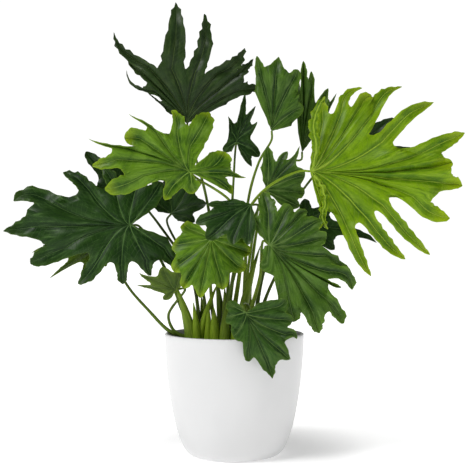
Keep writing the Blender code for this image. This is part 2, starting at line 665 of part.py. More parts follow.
def crown_profile(crown, clearance):
    """A crown, or with a clearance the pocket that it sits in, which runs out above the soil."""
    top = crown_top()
    low = top - CROWN_HEIGHT
    taper = [
        (crown.radius + clearance, low + CROWN_TAPER),
        (crown.radius * 0.8 + clearance, low + CROWN_TAPER / 3.0),
        (crown.radius * 0.55 + clearance, low - clearance), (0.0, low - clearance),
    ]
    if clearance:
        return [(0.0, top + 5.0), (crown.radius + clearance, top + 5.0)] + taper
    return [(0.0, top), (crown.radius - 1.2, top), (crown.radius, top - 1.5)] + taper


# ------------------------------------------------------------------ making objects


def material(name, colour, roughness, coat=0.0):
    """A Principled material of one colour."""
    made = bpy.data.materials.new(name)
    made.use_nodes = True
    shader = made.node_tree.nodes["Principled BSDF"]
    shader.inputs["Base Color"].default_value = (*colour, 1.0)
    shader.inputs["Roughness"].default_value = roughness
    shader.inputs["Coat Weight"].default_value = coat
    made.diffuse_color = (*colour, 1.0)
    return made


def make_object(name, data, finish, place=(0.0, 0.0, 0.0)):
    """An object of the data at a place in millimetres, with one material."""
    data.materials.append(finish)
    made = bpy.data.objects.new(name, data)
    made.location = [value * MM for value in place]
    bpy.context.scene.collection.objects.link(made)
    return made


def lathe(name, profile, steps, finish, place=(0.0, 0.0, 0.0)):
    """A closed solid turned about its own Z by a Screw modifier."""
    mesh = bpy.data.meshes.new(name)
    points = [(radius * MM, 0.0, height * MM) for radius, height in profile]
    mesh.from_pydata(points, [(i, i + 1) for i in range(len(points) - 1)], [])
    made = make_object(name, mesh, finish, place)
    turn = made.modifiers.new("turn", "SCREW")
    turn.steps = steps
    turn.render_steps = steps
    turn.use_merge_vertices = True
    turn.merge_threshold = 0.00001
    turn.use_smooth_shade = True
    return made


def cut(body, cutter):
    """Cuts a cutter out of a body with an exact Boolean, and leaves the cutter as a wire guide."""
    cutter.hide_render = True
    cutter.display_type = "WIRE"
    boolean = body.modifiers.new(cutter.name, "BOOLEAN")
    boolean.operation = "DIFFERENCE"
    boolean.solver = "EXACT"
    boolean.object = cutter


def drain_hole(name, place, finish):
    """A round cutter that passes through the nursery pot's floor."""
    shape = bmesh.new()
    bmesh.ops.create_cone(
        shape, cap_ends=True, segments=12, radius1=DRAIN_HOLE_RADIUS * MM, radius2=DRAIN_HOLE_RADIUS * MM,
        depth=(POT_FLOOR + 8.0) * MM,
    )
    mesh = bpy.data.meshes.new(name)
    shape.to_mesh(mesh)
    shape.free()
    return make_object(name, mesh, finish, place)


def build_pots():
    """The cover pot, and the nursery pot with its ring of drain holes."""
    lathe("cover_pot", cover_pot_profile(), TURN_STEPS, material("glazed_white", POT_WHITE, 0.35))
    black = material("nursery_plastic", NURSERY_BLACK, 0.5)
    nursery = lathe("nursery_pot", nursery_profile(), TURN_STEPS, black)
    ring = nursery_radii()[0] - DRAIN_HOLE_INSET
    for index in range(DRAIN_HOLES):
        turn = math.radians(DRAIN_TURN + 360.0 * index / DRAIN_HOLES)
        place = (ring * math.cos(turn), ring * math.sin(turn), POT_FLOOR)
        cut(nursery, drain_hole(f"drain_{index}", place, black))


def build_soil():
    """The soil with a pocket for each crown, and the crowns."""
    brown = material("potting_soil", SOIL_BROWN, 0.95)
    soil = lathe("soil", soil_profile(), TURN_STEPS, brown)
    for name in CROWNS:
        crown = sized_crown(name)
        place = (crown.x, crown.y, 0.0)
        cut(soil, lathe(f"pocket_{name}", crown_profile(crown, SOIL_GAP), CROWN_STEPS, brown, place))
        skin = material(f"crown_{name}_skin", CROWN_TAN, 0.8)
        lathe(f"crown_{name}", crown_profile(crown, 0.0), CROWN_STEPS, skin, place)


def build_blade(blade):
    """One blade: its middle surface, thickened evenly by a Solidify modifier."""
    points, faces = blade_sheet(blade)
    mesh = bpy.data.meshes.new(f"blade_{blade.name}")
    mesh.from_pydata((points * MM).tolist(), [], faces)
    mesh.shade_smooth()
    tone = LEAF_BRIGHT if blade.tone == "bright" else LEAF_GREEN
    leaf = material(f"leaf_{blade.name}", tone, 0.4, 0.3)
    sheet = make_object(f"blade_{blade.name}", mesh, leaf, blade_base(blade))
    thick = sheet.modifiers.new("thickness", "SOLIDIFY")
    thick.thickness = BLADE_THICKNESS * MM
    thick.offset = 0.0


def build_stalk(blade):
    """One stalk: a bevelled curve with filled caps that thins along its length."""
    path = stalk_path(blade)
    curve = bpy.data.curves.new(f"stalk_{blade.name}", "CURVE")
    curve.dimensions = "3D"
    curve.bevel_depth = MM
    curve.bevel_resolution = 1
    curve.use_fill_caps = True
    spline = curve.splines.new("POLY")
    spline.points.add(len(path) - 1)
    for point, place, radius in zip(spline.points, path - path[0], stalk_radii(blade)):
        point.co = (*(place * MM), 1.0)
        point.radius = radius
    make_object(f"stalk_{blade.name}", curve, material(f"stem_{blade.name}", STALK_GREEN, 0.5), path[0])


def main():
    for old in list(bpy.data.objects):
        bpy.data.objects.remove(old, do_unlink=True)
    build_pots()
    build_soil()
    for blade in BLADES:
        build_blade(blade)
        build_stalk(blade)


if __name__ == "__main__":
    main()
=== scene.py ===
"""A philodendron with deeply cut leaves, growing from four crowns in a white cover pot.

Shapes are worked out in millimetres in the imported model's frame: X to the right,
Y to the back, Z up, with the origin under the pot's foot.
"""

import logging
import math
from dataclasses import dataclass, field
from enum import Enum
from functools import cache

import bpy
import numpy as np
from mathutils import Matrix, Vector


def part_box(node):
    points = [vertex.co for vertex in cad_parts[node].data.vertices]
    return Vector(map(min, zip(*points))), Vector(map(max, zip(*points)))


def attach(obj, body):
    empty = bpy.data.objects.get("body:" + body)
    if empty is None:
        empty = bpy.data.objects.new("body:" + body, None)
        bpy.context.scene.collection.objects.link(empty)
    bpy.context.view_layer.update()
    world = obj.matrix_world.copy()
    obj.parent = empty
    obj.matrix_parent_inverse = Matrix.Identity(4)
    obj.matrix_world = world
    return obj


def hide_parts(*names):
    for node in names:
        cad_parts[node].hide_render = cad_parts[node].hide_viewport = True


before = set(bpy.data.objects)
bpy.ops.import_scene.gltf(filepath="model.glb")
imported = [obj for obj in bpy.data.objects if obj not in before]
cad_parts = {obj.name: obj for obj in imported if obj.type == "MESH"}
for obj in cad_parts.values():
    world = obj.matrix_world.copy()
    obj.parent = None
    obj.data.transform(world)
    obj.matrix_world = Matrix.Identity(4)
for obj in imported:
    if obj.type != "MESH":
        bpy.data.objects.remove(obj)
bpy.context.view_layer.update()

MM = 0.001
LEAF_THICKNESS = 0.6
OVERHANG = 12.0
Array = np.ndarray
Colour = tuple[float, float, float]
log = logging.getLogger("philodendron")


# ------------------------------------------------------------------------- shaders


class Value:
    """A node's output that takes part in Python expressions as Math nodes."""

    def __init__(self, graph: "Graph", socket: bpy.types.NodeSocket) -> None:
        """Wraps a socket of a graph."""
        self.graph = graph
        self.socket = socket

    def _math(self, operation: str, first: "Value | float", second: "Value | float") -> "Value":
        """Adds one Math node.

        Args:
            operation: the Math node's operation.
            first: its first input.
            second: its second input.

        Returns:
            The node's value.
        """
        return self.graph.node("ShaderNodeMath", {"operation": operation}, {0: first, 1: second})

    def __add__(self, other: "Value | float") -> "Value":
        """Sum."""
        return self._math("ADD", self, other)

    __radd__ = __add__

    def __sub__(self, other: "Value | float") -> "Value":
        """Difference."""
        return self._math("SUBTRACT", self, other)

    def __rsub__(self, other: "Value | float") -> "Value":
        """Difference with the number first."""
        return self._math("SUBTRACT", other, self)

    def __mul__(self, other: "Value | float") -> "Value":
        """Product."""
        return self._math("MULTIPLY", self, other)

    __rmul__ = __mul__

    def __truediv__(self, other: "Value | float") -> "Value":
        """Quotient."""
        return self._math("DIVIDE", self, other)


class Graph:
    """A material's node graph round one Principled shader."""

    def __init__(self, name: str) -> None:
        """Makes the material.

        Args:
            name: the material's name.
        """
        self.material = bpy.data.materials.new(name)
        self.material.use_nodes = True
        self.tree = self.material.node_tree
        self.shader = self.tree.nodes["Principled BSDF"]

    def _feed(self, socket: bpy.types.NodeSocket, value: object) -> None:
        """Links a value to a socket, or sets the socket to a number, colour or vector."""
        if isinstance(value, Value):
            self.tree.links.new(value.socket, socket)
        elif socket.type == "RGBA":
            socket.default_value = (*value, 1.0)
        else:
            socket.default_value = value

    def node(self, kind: str, settings: dict, sockets: dict, out: int | str = 0) -> Value:
        """Adds any node.

        Args:
            kind: the node's type.
            settings: its properties.
            sockets: values or links by socket name or number.
            out: the wanted output.

        Returns:
            That output.
        """
        made = self.tree.nodes.new(kind)
        for key, value in settings.items():
            setattr(made, key, value)
        for key, value in sockets.items():
            self._feed(made.inputs[key], value)
        return Value(self, made.outputs[out])

    def place(self) -> Value:
        """The shaded point in the object's own coordinates, in metres."""
        return self.node("ShaderNodeTexCoord", {}, {}, "Object")

    def attribute(self, name: str) -> Value:
        """A number that the mesh carries at its points."""
        return self.node("ShaderNodeAttribute", {"attribute_name": name}, {}, "Fac")

    def stretched(self, place: Value, scale: tuple[float, float, float]) -> Value:
        """The place, drawn out by a scale on each axis."""
        return self.node("ShaderNodeMapping", {}, {"Vector": place, "Scale": scale})

    def noise(self, place: Value, scale: float, detail: float = 3.0, warp: float = 0.0) -> Value:
        """A cloudy pattern from 0 to 1.

        Args:
            place: where the pattern is read.
            scale: its cells in a metre.
            detail: how many finer layers it holds.
            warp: how far it is distorted.

        Returns:
            The pattern's value.
        """
        sockets = {"Vector": place, "Scale": scale, "Detail": detail, "Distortion": warp}
        return self.node("ShaderNodeTexNoise", {}, sockets, "Fac")

    def cells(self, place: Value, scale: float) -> Value:
        """The distance from the middle of the nearest of many small cells."""
        return self.node("ShaderNodeTexVoronoi", {}, {"Vector": place, "Scale": scale}, "Distance")

    def band(self, value: Value, start: float, end: float) -> Value:
        """A smooth step of a value from 0 at start to 1 at end, either way round."""
        sockets = {"Value": value, "From Min": start, "From Max": end}
        return self.node("ShaderNodeMapRange", {"interpolation_type": "SMOOTHSTEP"}, sockets)

    def mix(self, share: "Value | float", first: "Value | Colour", second: "Value | Colour") -> Value:
        """A blend of two colours, the first at share 0 and the second at share 1."""
        return self.node("ShaderNodeMix", {"data_type": "RGBA"}, {0: share, 6: first, 7: second}, 2)

    def bump(self, height: Value, depth: float, strength: float = 1.0) -> Value:
        """The normal over a relief.

        Args:
            height: the relief from 0 to 1.
            depth: its depth in millimetres.
            strength: how much of it shows.

        Returns:
            The normal.
        """
        sockets = {"Height": height, "Distance": depth * MM, "Strength": strength}
        return self.node("ShaderNodeBump", {}, sockets)

    def finish(self, **sockets: object) -> bpy.types.Material:
        """Sets the shader's inputs, named with _ for a space, and returns the material."""
        for key, value in sockets.items():
            self._feed(self.shader.inputs[key.replace("_", " ")], value)
        return self.material


# -------------------------------------------------------------------------- meshes


def unit(vector: Array) -> Array:
    """The vector, or each row of vectors, at length one."""
    vector = np.asarray(vector, float)
    return vector / np.linalg.norm(vector, axis=-1, keepdims=True)


def grid_quads(rows: int, columns: int, wrap: bool = False) -> Array:
    """The faces of a grid whose points are numbered row by row.

    Args:
        rows: how many rows of points there are.
        columns: how many points are in a row.
        wrap: whether the last column joins the first.

    Returns:
        Each face's four point numbers; it faces along row step x column step.
    """
    index = np.arange(rows * columns).reshape(rows, columns)
    if wrap:
        index = np.concatenate([index, index[:, :1]], axis=1)
    corners = [index[:-1, :-1], index[1:, :-1], index[1:, 1:], index[:-1, 1:]]
    return np.stack(corners, axis=-1).reshape(-1, 4)


def full_turn(steps: int) -> Array:
    """The angles of evenly spaced places round a circle."""
    return np.arange(steps) * 2.0 * math.pi / steps


def rings_round(x: float, y: float, radius: Array, turn: Array, height: Array | float) -> Array:
    """The places on level rings about an upright axis.

    Args:
        x: where the axis stands, to the right.
        y: where it stands, to the back.
        radius: each ring's radius, in a column, or a radius for each place.
        turn: the places' angles.
        height: the rings' or the places' heights.

    Returns:
        The rings' places.
    """
    level = height + 0.0 * radius * turn
    return np.stack([x + radius * np.cos(turn), y + radius * np.sin(turn), level], axis=-1)


def thicken(sheet: bpy.types.Object, depth: float, back: int = 0) -> None:
    """Gives a sheet its thickness with a Solidify modifier.

    Args:
        sheet: the sheet.
        depth: its thickness in millimetres.
        back: how far the back's material stands after the front's.
    """
    thick = sheet.modifiers.new("thickness", "SOLIDIFY")
    thick.thickness, thick.offset, thick.material_offset = depth * MM, 0.0, back


@dataclass
class Surface:
    """Points in millimetres, the faces between them and what each point carries."""

    points: Array
    faces: Array
    carried: dict[str, Array] = field(default_factory=dict)

    @staticmethod
    def joined(parts: "list[Surface]") -> "Surface":
        """All of the parts as one surface."""
        starts = np.cumsum([0] + [len(part.points) for part in parts[:-1]])
        faces = np.concatenate([part.faces + start for part, start in zip(parts, starts)])
        carried = {key: np.concatenate([part.carried[key] for part in parts]) for key in parts[0].carried}
        return Surface(np.concatenate([part.points for part in parts]), faces, carried)

    def welded(self) -> "Surface":
        """The surface with points that lie within a hundredth of a millimetre made one."""
        _, first, back = np.unique(np.round(self.points, 2), axis=0, return_index=True, return_inverse=True)
        carried = {key: values[first] for key, values in self.carried.items()}
        return Surface(self.points[first], back.reshape(-1)[self.faces], carried)

    def face_lists(self) -> list[list[int]]:
        """The faces, with a side that has shrunk to a point left out."""
        shrunk = self.faces == np.roll(self.faces, -1, axis=1)
        whole = self.faces[~shrunk.any(axis=1)]
        one = shrunk.sum(axis=1) == 1
        narrow = self.faces[one][~shrunk[one]].reshape(-1, self.faces.shape[1] - 1)
        return whole.tolist() + narrow.tolist()

    def piece(
        self, name: str, finishes: list[bpy.types.Material], slot: str, *nodes: str
    ) -> bpy.types.Object:
        """Makes the object, which rides on the body and stands for CAD nodes.

        Args:
            name: the object's name.
            finishes: its materials.
            slot: the record's material slot; it is not used.
            nodes: the CAD nodes that it replaces.

        Returns:
            The object.
        """
        mesh = bpy.data.meshes.new(name)
        mesh.from_pydata((self.points * MM).tolist(), [], self.face_lists())
        for key, values in self.carried.items():
            layer = mesh.attributes.new(key, "FLOAT", "POINT")
            layer.data.foreach_set("value", values.astype(np.float32))
        mesh.shade_smooth()
        for finish in finishes:
            mesh.materials.append(finish)
        made = bpy.data.objects.new(name, mesh)
        bpy.context.scene.collection.objects.link(made)
        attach(made, "root")
        if nodes:
            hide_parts(*nodes)
        log.info("%s: %d faces", name, len(mesh.polygons))
        return made


def lathed(profile: Array, steps: int) -> Surface:
    """A profile turned about the vertical.

    The point at (turn, share) is the profile's radius at share, swung by turn
    about the axis, at the profile's height.

    Args:
        profile: (radius, height) rows that start and end on the axis.
        steps: how many times the profile is repeated round the axis.

    Returns:
        The closed surface.
    """
    points = rings_round(0.0, 0.0, profile[:, :1], full_turn(steps), profile[:, 1:])
    return Surface(points.reshape(-1, 3), grid_quads(len(profile), steps, True))


def cloudy(places: Array, size: float, seed: int) -> Array:
    """A smooth random height from -1 to 1 at each place.

    It is the sum of twelve waves of about one length, each with a direction and
    a start of its own.

    Args:
        places: rows of coordinates in millimetres.
        size: the waves' length.
        seed: picks the directions and starts.

    Returns:
        The height at each place.
    """
    dice = np.random.default_rng(seed)
    ways = unit(dice.normal(size=(12, places.shape[-1]))) * dice.uniform(0.7, 1.5, (12, 1))
    waves = np.sin(places @ ways.T * 2.0 * math.pi / size + dice.uniform(0.0, 2.0 * math.pi, 12))
    return waves.sum(axis=-1) / 5.0


# ---------------------------------------------------------------------------- pots


@dataclass(frozen=True)
class GlazedWhite:
    """A satin white glaze with a faint cloud in it and a fine orange-peel skin."""

    white: Colour = (0.80, 0.80, 0.80)
    shade: Colour = (0.755, 0.757, 0.76)
    speck: Colour = (0.62, 0.61, 0.59)

    def build(self) -> bpy.types.Material:
        """Makes the material."""
        graph = Graph("glazed_white")
        place = graph.place()
        colour = graph.mix(graph.band(graph.noise(place, 9.0), 0.3, 0.7), self.shade, self.white)
        specks = graph.band(graph.cells(place, 260.0), 0.10, 0.04)
        specks = specks * graph.band(graph.noise(place, 70.0), 0.55, 0.7)
        colour = graph.mix(specks * 0.5, colour, self.speck)
        skin = graph.noise(place, 420.0, 2.0)
        rough = 0.30 + 0.10 * graph.noise(place, 60.0)
        return graph.finish(
            Base_Color=colour, Roughness=rough, Normal=graph.bump(skin, 0.05, 0.5), Coat_Weight=0.15,
            Coat_Roughness=0.2,
        )


@dataclass(frozen=True)
class NurseryPlastic:
    """Thin black moulded plastic, dusty in patches."""

    black: Colour = (0.012, 0.012, 0.012)
    dust: Colour = (0.055, 0.048, 0.04)

    def build(self) -> bpy.types.Material:
        """Makes the material."""
        graph = Graph("nursery_plastic")
        place = graph.place()
        dusty = graph.band(graph.noise(place, 45.0, 5.0), 0.45, 0.75)
        grain = graph.noise(place, 900.0, 2.0)
        return graph.finish(
            Base_Color=graph.mix(dusty * 0.6, self.black, self.dust), Roughness=0.38 + 0.3 * dusty,
            Normal=graph.bump(grain, 0.05, 0.6),
        )


@dataclass
class Pots:
    """The cover pot, turned finely, and the nursery pot inside it.

    The outer wall is a bowl: its radius grows from the foot's to the rim's as
    (1 - (1 - height) to the power swell) to the power flare.
    """

    height: float
    rim: float
    foot: float = 62.0
    wall: float = 4.5
    floor: float = 6.0
    floor_round: float = 6.0
    lip: float = 1.6
    swell: float = 1.65
    flare: float = 0.52
    drop: float = 19.0
    side_room: float = 7.0
    lip_out: float = 3.0
    steps: int = 192
    rings: int = 56

    @classmethod
    def from_frame(cls) -> "Pots":
        """The pots with the height and rim that the CAD's cover pot has."""
        low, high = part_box("cover_pot")
        return cls(height=(high.z - low.z) / MM, rim=(high.x - low.x) / 2.0 / MM)

    def outside(self, height: Array | float) -> Array | float:
        """The cover pot's outer radius at a height."""
        share = 1.0 - np.clip(np.asarray(height) / self.height, 0.0, 1.0)
        return self.foot + (self.rim - self.foot) * (1.0 - share**self.swell) ** self.flare

    def inside(self, height: Array | float) -> Array | float:
        """The cover pot's inner radius at a height."""
        return self.outside(height) - self.wall

    def profile(self) -> Array:
        """The floor, the inner wall, a rounded lip, the outer wall and the foot.

        Returns:
            (radius, height) rows from the floor's middle to the foot's middle.
        """
        low, high = self.floor + self.floor_round, self.height - self.lip
        shares = np.linspace(0.0, 1.0, self.rings)
        heights = low + (high - low) * shares
        inner = np.stack([self.inside(heights), heights], axis=1)
        turn = np.linspace(math.pi, 0.0, 9)
        middle, half = self.rim - self.wall / 2.0, self.wall / 2.0
        lip = np.stack([middle + half * np.cos(turn), high + self.lip * np.sin(turn)], axis=1)
        heights = 0.9 + (high - 0.9) * shares[::-1] ** 1.7
        outer = np.stack([self.outside(heights), heights], axis=1)
        quarter = np.linspace(0.0, math.pi / 2.0, 6)[:-1]
        corner = inner[0, 0] - self.floor_round
        hollow = np.stack([
            corner + self.floor_round * np.sin(quarter), low - self.floor_round * np.cos(quarter),
        ], axis=1)
        top = [[share * corner, self.floor] for share in (0.0, 0.3, 0.6, 0.9)]
        foot = [[self.foot - 1.0, 0.0], [self.foot - 8.0, 0.0], [self.foot * 0.4, 0.0], [0.0, 0.0]]
        return np.concatenate([top, hollow, inner, lip[1:-1], outer, foot])

    def rim_of_nursery(self) -> float:
        """The nursery pot's outer radius at its lip."""
        return float(self.inside(self.height - self.drop)) - self.side_room

    def build(self) -> None:
        """Turns the cover pot and dresses the nursery pot."""
        lathed(self.profile(), self.steps).welded().piece(
            "cover_pot_body", [GlazedWhite().build()], "cover_pot", "cover_pot"
        )
        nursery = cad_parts["nursery_pot"]
        nursery.data.materials.clear()
        nursery.data.materials.append(NurseryPlastic().build())
        log.info("nursery_pot: dressed")


# ----------------------------------------------------------------- soil and crowns


@dataclass(frozen=True)
class PottingMix:
    """Dark damp peat with pale fibres in it."""

    dark: Colour = (0.018, 0.011, 0.007)
    light: Colour = (0.075, 0.048, 0.03)
    rough: float = 0.9

    def build(self, name: str) -> bpy.types.Material:
        """Makes the material under a name."""
        graph = Graph(name)
        place = graph.place()
        crumbs = graph.noise(place, 230.0, 5.0, 0.4)
        cells = graph.cells(place, 330.0)
        colour = graph.mix(graph.band(crumbs, 0.35, 0.72), self.dark, self.light)
        colour = graph.mix(graph.band(cells, 0.55, 0.15) * 0.4, colour, self.light)
        return graph.finish(
            Base_Color=colour, Roughness=self.rough, Normal=graph.bump(crumbs - cells * 0.6, 1.2, 0.9),
        )


@dataclass(frozen=True)
class CrownBark:
    """A short woody crown: tan and green-brown, fibrous, with dark scars."""

    tan: Colour = (0.15, 0.115, 0.05)
    brown: Colour = (0.045, 0.032, 0.016)
    green: Colour = (0.07, 0.10, 0.025)

    def build(self) -> bpy.types.Material:
        """Makes the material."""
        graph = Graph("crown_bark")
        place = graph.place()
        fibres = graph.noise(graph.stretched(place, (1.0, 1.0, 0.12)), 420.0, 4.0, 0.3)
        patches = graph.noise(place, 85.0, 3.0)
        colour = graph.mix(graph.band(fibres, 0.35, 0.65), self.brown, self.tan)
        colour = graph.mix(graph.band(patches, 0.5, 0.65) * 0.7, colour, self.green)
        return graph.finish(
            Base_Color=colour, Roughness=0.6 + 0.25 * fibres, Normal=graph.bump(fibres, 0.7, 0.9),
        )


@dataclass
class Crown:
    """A short crown: its place on the soil, its radius and its stalk places."""

    x: float
    y: float
    radius: float
    ring: float
    slots: int
    turn: float = 0.0


CROWNS = {
    "a": Crown(-70.0, -6.0, 9.0, 4.6, 3, 90.0),
    "b": Crown(-45.0, -8.0, 12.0, 6.8, 4, 45.0),
    "c": Crown(-16.0, -4.0, 14.0, 9.6, 6, 0.0),
    "d": Crown(17.0, -2.0, 16.0, 11.6, 8, 22.5),
}


@dataclass
class Bed:
    """The soil, the grit and bark on it, and the four crowns."""

    pots: Pots
    drop: float = 4.0
    dome: float = 4.5
    lumps: float = 1.3
    proud: float = 7.0
    depth: float = 34.0
    edge_room: float = 3.6
    steps: int = 160
    seed: int = 7

    def top(self) -> float:
        """The soil's height in the middle."""
        return self.pots.height - self.pots.drop - self.drop

    def radius(self) -> float:
        """The soil's radius at its edge, just inside the nursery pot."""
        return self.pots.rim_of_nursery() - self.pots.lip_out - self.edge_room

    def skin(self, x: Array, y: Array) -> Array:
        """The soil's height at a place: a low dome with lumps that fade out at its edge."""
        share = np.hypot(x, y) / self.radius()
        places = np.stack([x, y], axis=-1)
        lumps = cloudy(places, 21.0, 3) + 0.6 * cloudy(places, 9.0, 4) + 0.35 * cloudy(places, 4.2, 5)
        fade = np.clip((1.0 - share) * 6.0, 0.0, 1.0)
        return self.top() - self.dome * share**4 + self.lumps * (lumps - 0.6) * fade

    def soil(self) -> None:
        """Makes the soil: rings that shrink to the middle of the top, a side and a flat underside."""
        low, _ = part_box("soil")
        turn = full_turn(self.steps)
        shares = np.linspace(0.0, 1.0, 64)[:, None]
        x, y = self.radius() * shares * np.cos(turn), self.radius() * shares * np.sin(turn)
        top = np.stack([x, y, self.skin(x, y)], axis=-1)
        side = [(0.97, 0.82), (0.91, 0.45), (0.83, 0.0), (0.4, 0.0), (0.0, 0.0)]
        base = low.z / MM
        high = self.top() - self.dome - base
        rings = [
            np.stack([x[-1] * wide, y[-1] * wide, np.full(self.steps, base + high * tall)], axis=-1)
            for wide, tall in side
        ]
        points = np.concatenate([top, np.stack(rings)])
        surface = Surface(points.reshape(-1, 3), grid_quads(len(points), self.steps, True)).welded()
        surface.piece("soil_bed", [PottingMix().build("potting_mix")], "soil", "soil")

    def litter(self, name: str, count: int, size: float, flat: float, finish: bpy.types.Material) -> None:
        """Scatters small crumbs on the soil.

        Each crumb is a blunt twelve-cornered stone, stretched and turned at random
        and pressed a little into the soil.

        Args:
            name: the piece's name.
            count: how many crumbs there are.
            size: the middle crumb's half length.
            flat: how flat a crumb is, as a share of its length.
            finish: its material.
        """
        dice = np.random.default_rng(self.seed + count)
        golden = (1.0 + math.sqrt(5.0)) / 2.0
        ends = [(-1, golden), (1, golden), (-1, -golden), (1, -golden)]
        corners = unit(np.array(
            [(a, b, 0) for a, b in ends] + [(0, a, b) for a, b in ends] + [(b, 0, a) for a, b in ends], float
        ))
        gap = np.linalg.norm(corners[:, None] - corners, axis=-1)
        near = (gap > 0.1) & (gap < 1.1)
        a, b, c = np.nonzero(near[:, :, None] & near[None, :, :] & near.T[:, None, :])
        facing = np.cross(corners[b] - corners[a], corners[c] - corners[a])
        turned = np.einsum("ij,ij->i", facing, corners[a]) > 0
        faces = np.stack([a, b, c], axis=1)[turned & (a < b) & (a < c)]
        frames, _ = np.linalg.qr(dice.normal(size=(count, 3, 3)))
        frames[:, :, 2] *= np.sign(np.linalg.det(frames))[:, None]
        scale = size * dice.uniform(0.5, 1.6, (count, 1, 1)) * np.array([1.0, 0.65, flat])
        reach = (self.radius() - 4.0) * np.sqrt(dice.uniform(0.0, 1.0, count))
        turn = dice.uniform(0.0, 2.0 * math.pi, count)
        x, y = reach * np.cos(turn), reach * np.sin(turn)
        clear = np.all([
            np.hypot(x - crown.x, y - crown.y) > crown.radius + size for crown in CROWNS.values()
        ], axis=0)
        jagged = corners * dice.uniform(0.75, 1.2, (count, 12, 1))
        points = (jagged * scale) @ frames.transpose(0, 2, 1)
        points = points + np.stack([x, y, self.skin(x, y) + 0.25 * size], axis=-1)[:, None, :]
        kept = points[clear]
        places = faces[None] + 12 * np.arange(len(kept))[:, None, None]
        Surface(kept.reshape(-1, 3), places.reshape(-1, 3)).piece(name, [finish], "soil")

    def crown(self, name: str, crown: Crown, finish: bpy.types.Material) -> None:
        """Makes one crown: a tapered stump with upright ribs and stepped scars.

        The radius at a height and a turn is the taper's, less a groove between
        ribs, and less a shallow step at each scar.

        Args:
            name: the crown's name.
            crown: its sizes.
            finish: its material.
        """
        top, steps = self.top() + self.proud, 72
        low = top - self.depth
        heights = np.concatenate([np.full(6, top), np.linspace(top - 0.8, low, 40)])
        down = (top - heights) / self.depth
        taper = np.interp(down, [0.0, 0.03, 0.47, 0.82, 1.0], [0.93, 1.0, 1.0, 0.8, 0.55])
        taper[:6] *= np.linspace(0.0, 1.0, 6)
        turn = full_turn(steps)
        places = np.stack([9.0 * np.cos(turn), 9.0 * np.sin(turn)], axis=-1)
        ribs = 0.035 * np.abs(np.sin(turn * (crown.slots + 1)))
        ribs = ribs + 0.03 * cloudy(places, 7.0, crown.slots)
        scars = 0.03 * np.abs(np.sin(heights[:, None] * 0.9 + turn * crown.slots))
        radius = crown.radius * taper[:, None] * (0.985 - ribs - scars)
        bumps = 0.4 * cloudy(rings_round(0.0, 0.0, radius, turn, 0.0)[..., :2], 6.0, 11)
        rise = heights[:, None] + np.where(down[:, None] < 0.01, bumps - 0.7, 0.0)
        rings = rings_round(crown.x, crown.y, radius, turn, rise)
        foot = np.broadcast_to([crown.x, crown.y, low], (1, steps, 3))
        points = np.concatenate([rings, foot])
        surface = Surface(points.reshape(-1, 3), grid_quads(len(points), steps, True)).welded()
        surface.piece(f"crown_{name}_stump", [finish], f"crown_{name}", f"crown_{name}")

    def build(self) -> None:
        """Makes the soil, its litter and the crowns."""
        self.soil()
        bark = PottingMix((0.03, 0.015, 0.008), (0.12, 0.065, 0.03), 0.8).build("bark_chips")
        grit = PottingMix((0.16, 0.15, 0.13), (0.42, 0.40, 0.36), 0.85).build("pale_grit")
        self.litter("bark_crumbs", 900, 2.0, 0.45, bark)
        self.litter("peat_crumbs", 1400, 1.2, 0.7, PottingMix().build("peat_crumbs"))
        self.litter("grit_grains", 130, 1.0, 0.8, grit)
        skin = CrownBark().build()
        for name, crown in CROWNS.items():
            self.crown(name, crown, skin)


# -------------------------------------------------------------------- leaf finishes


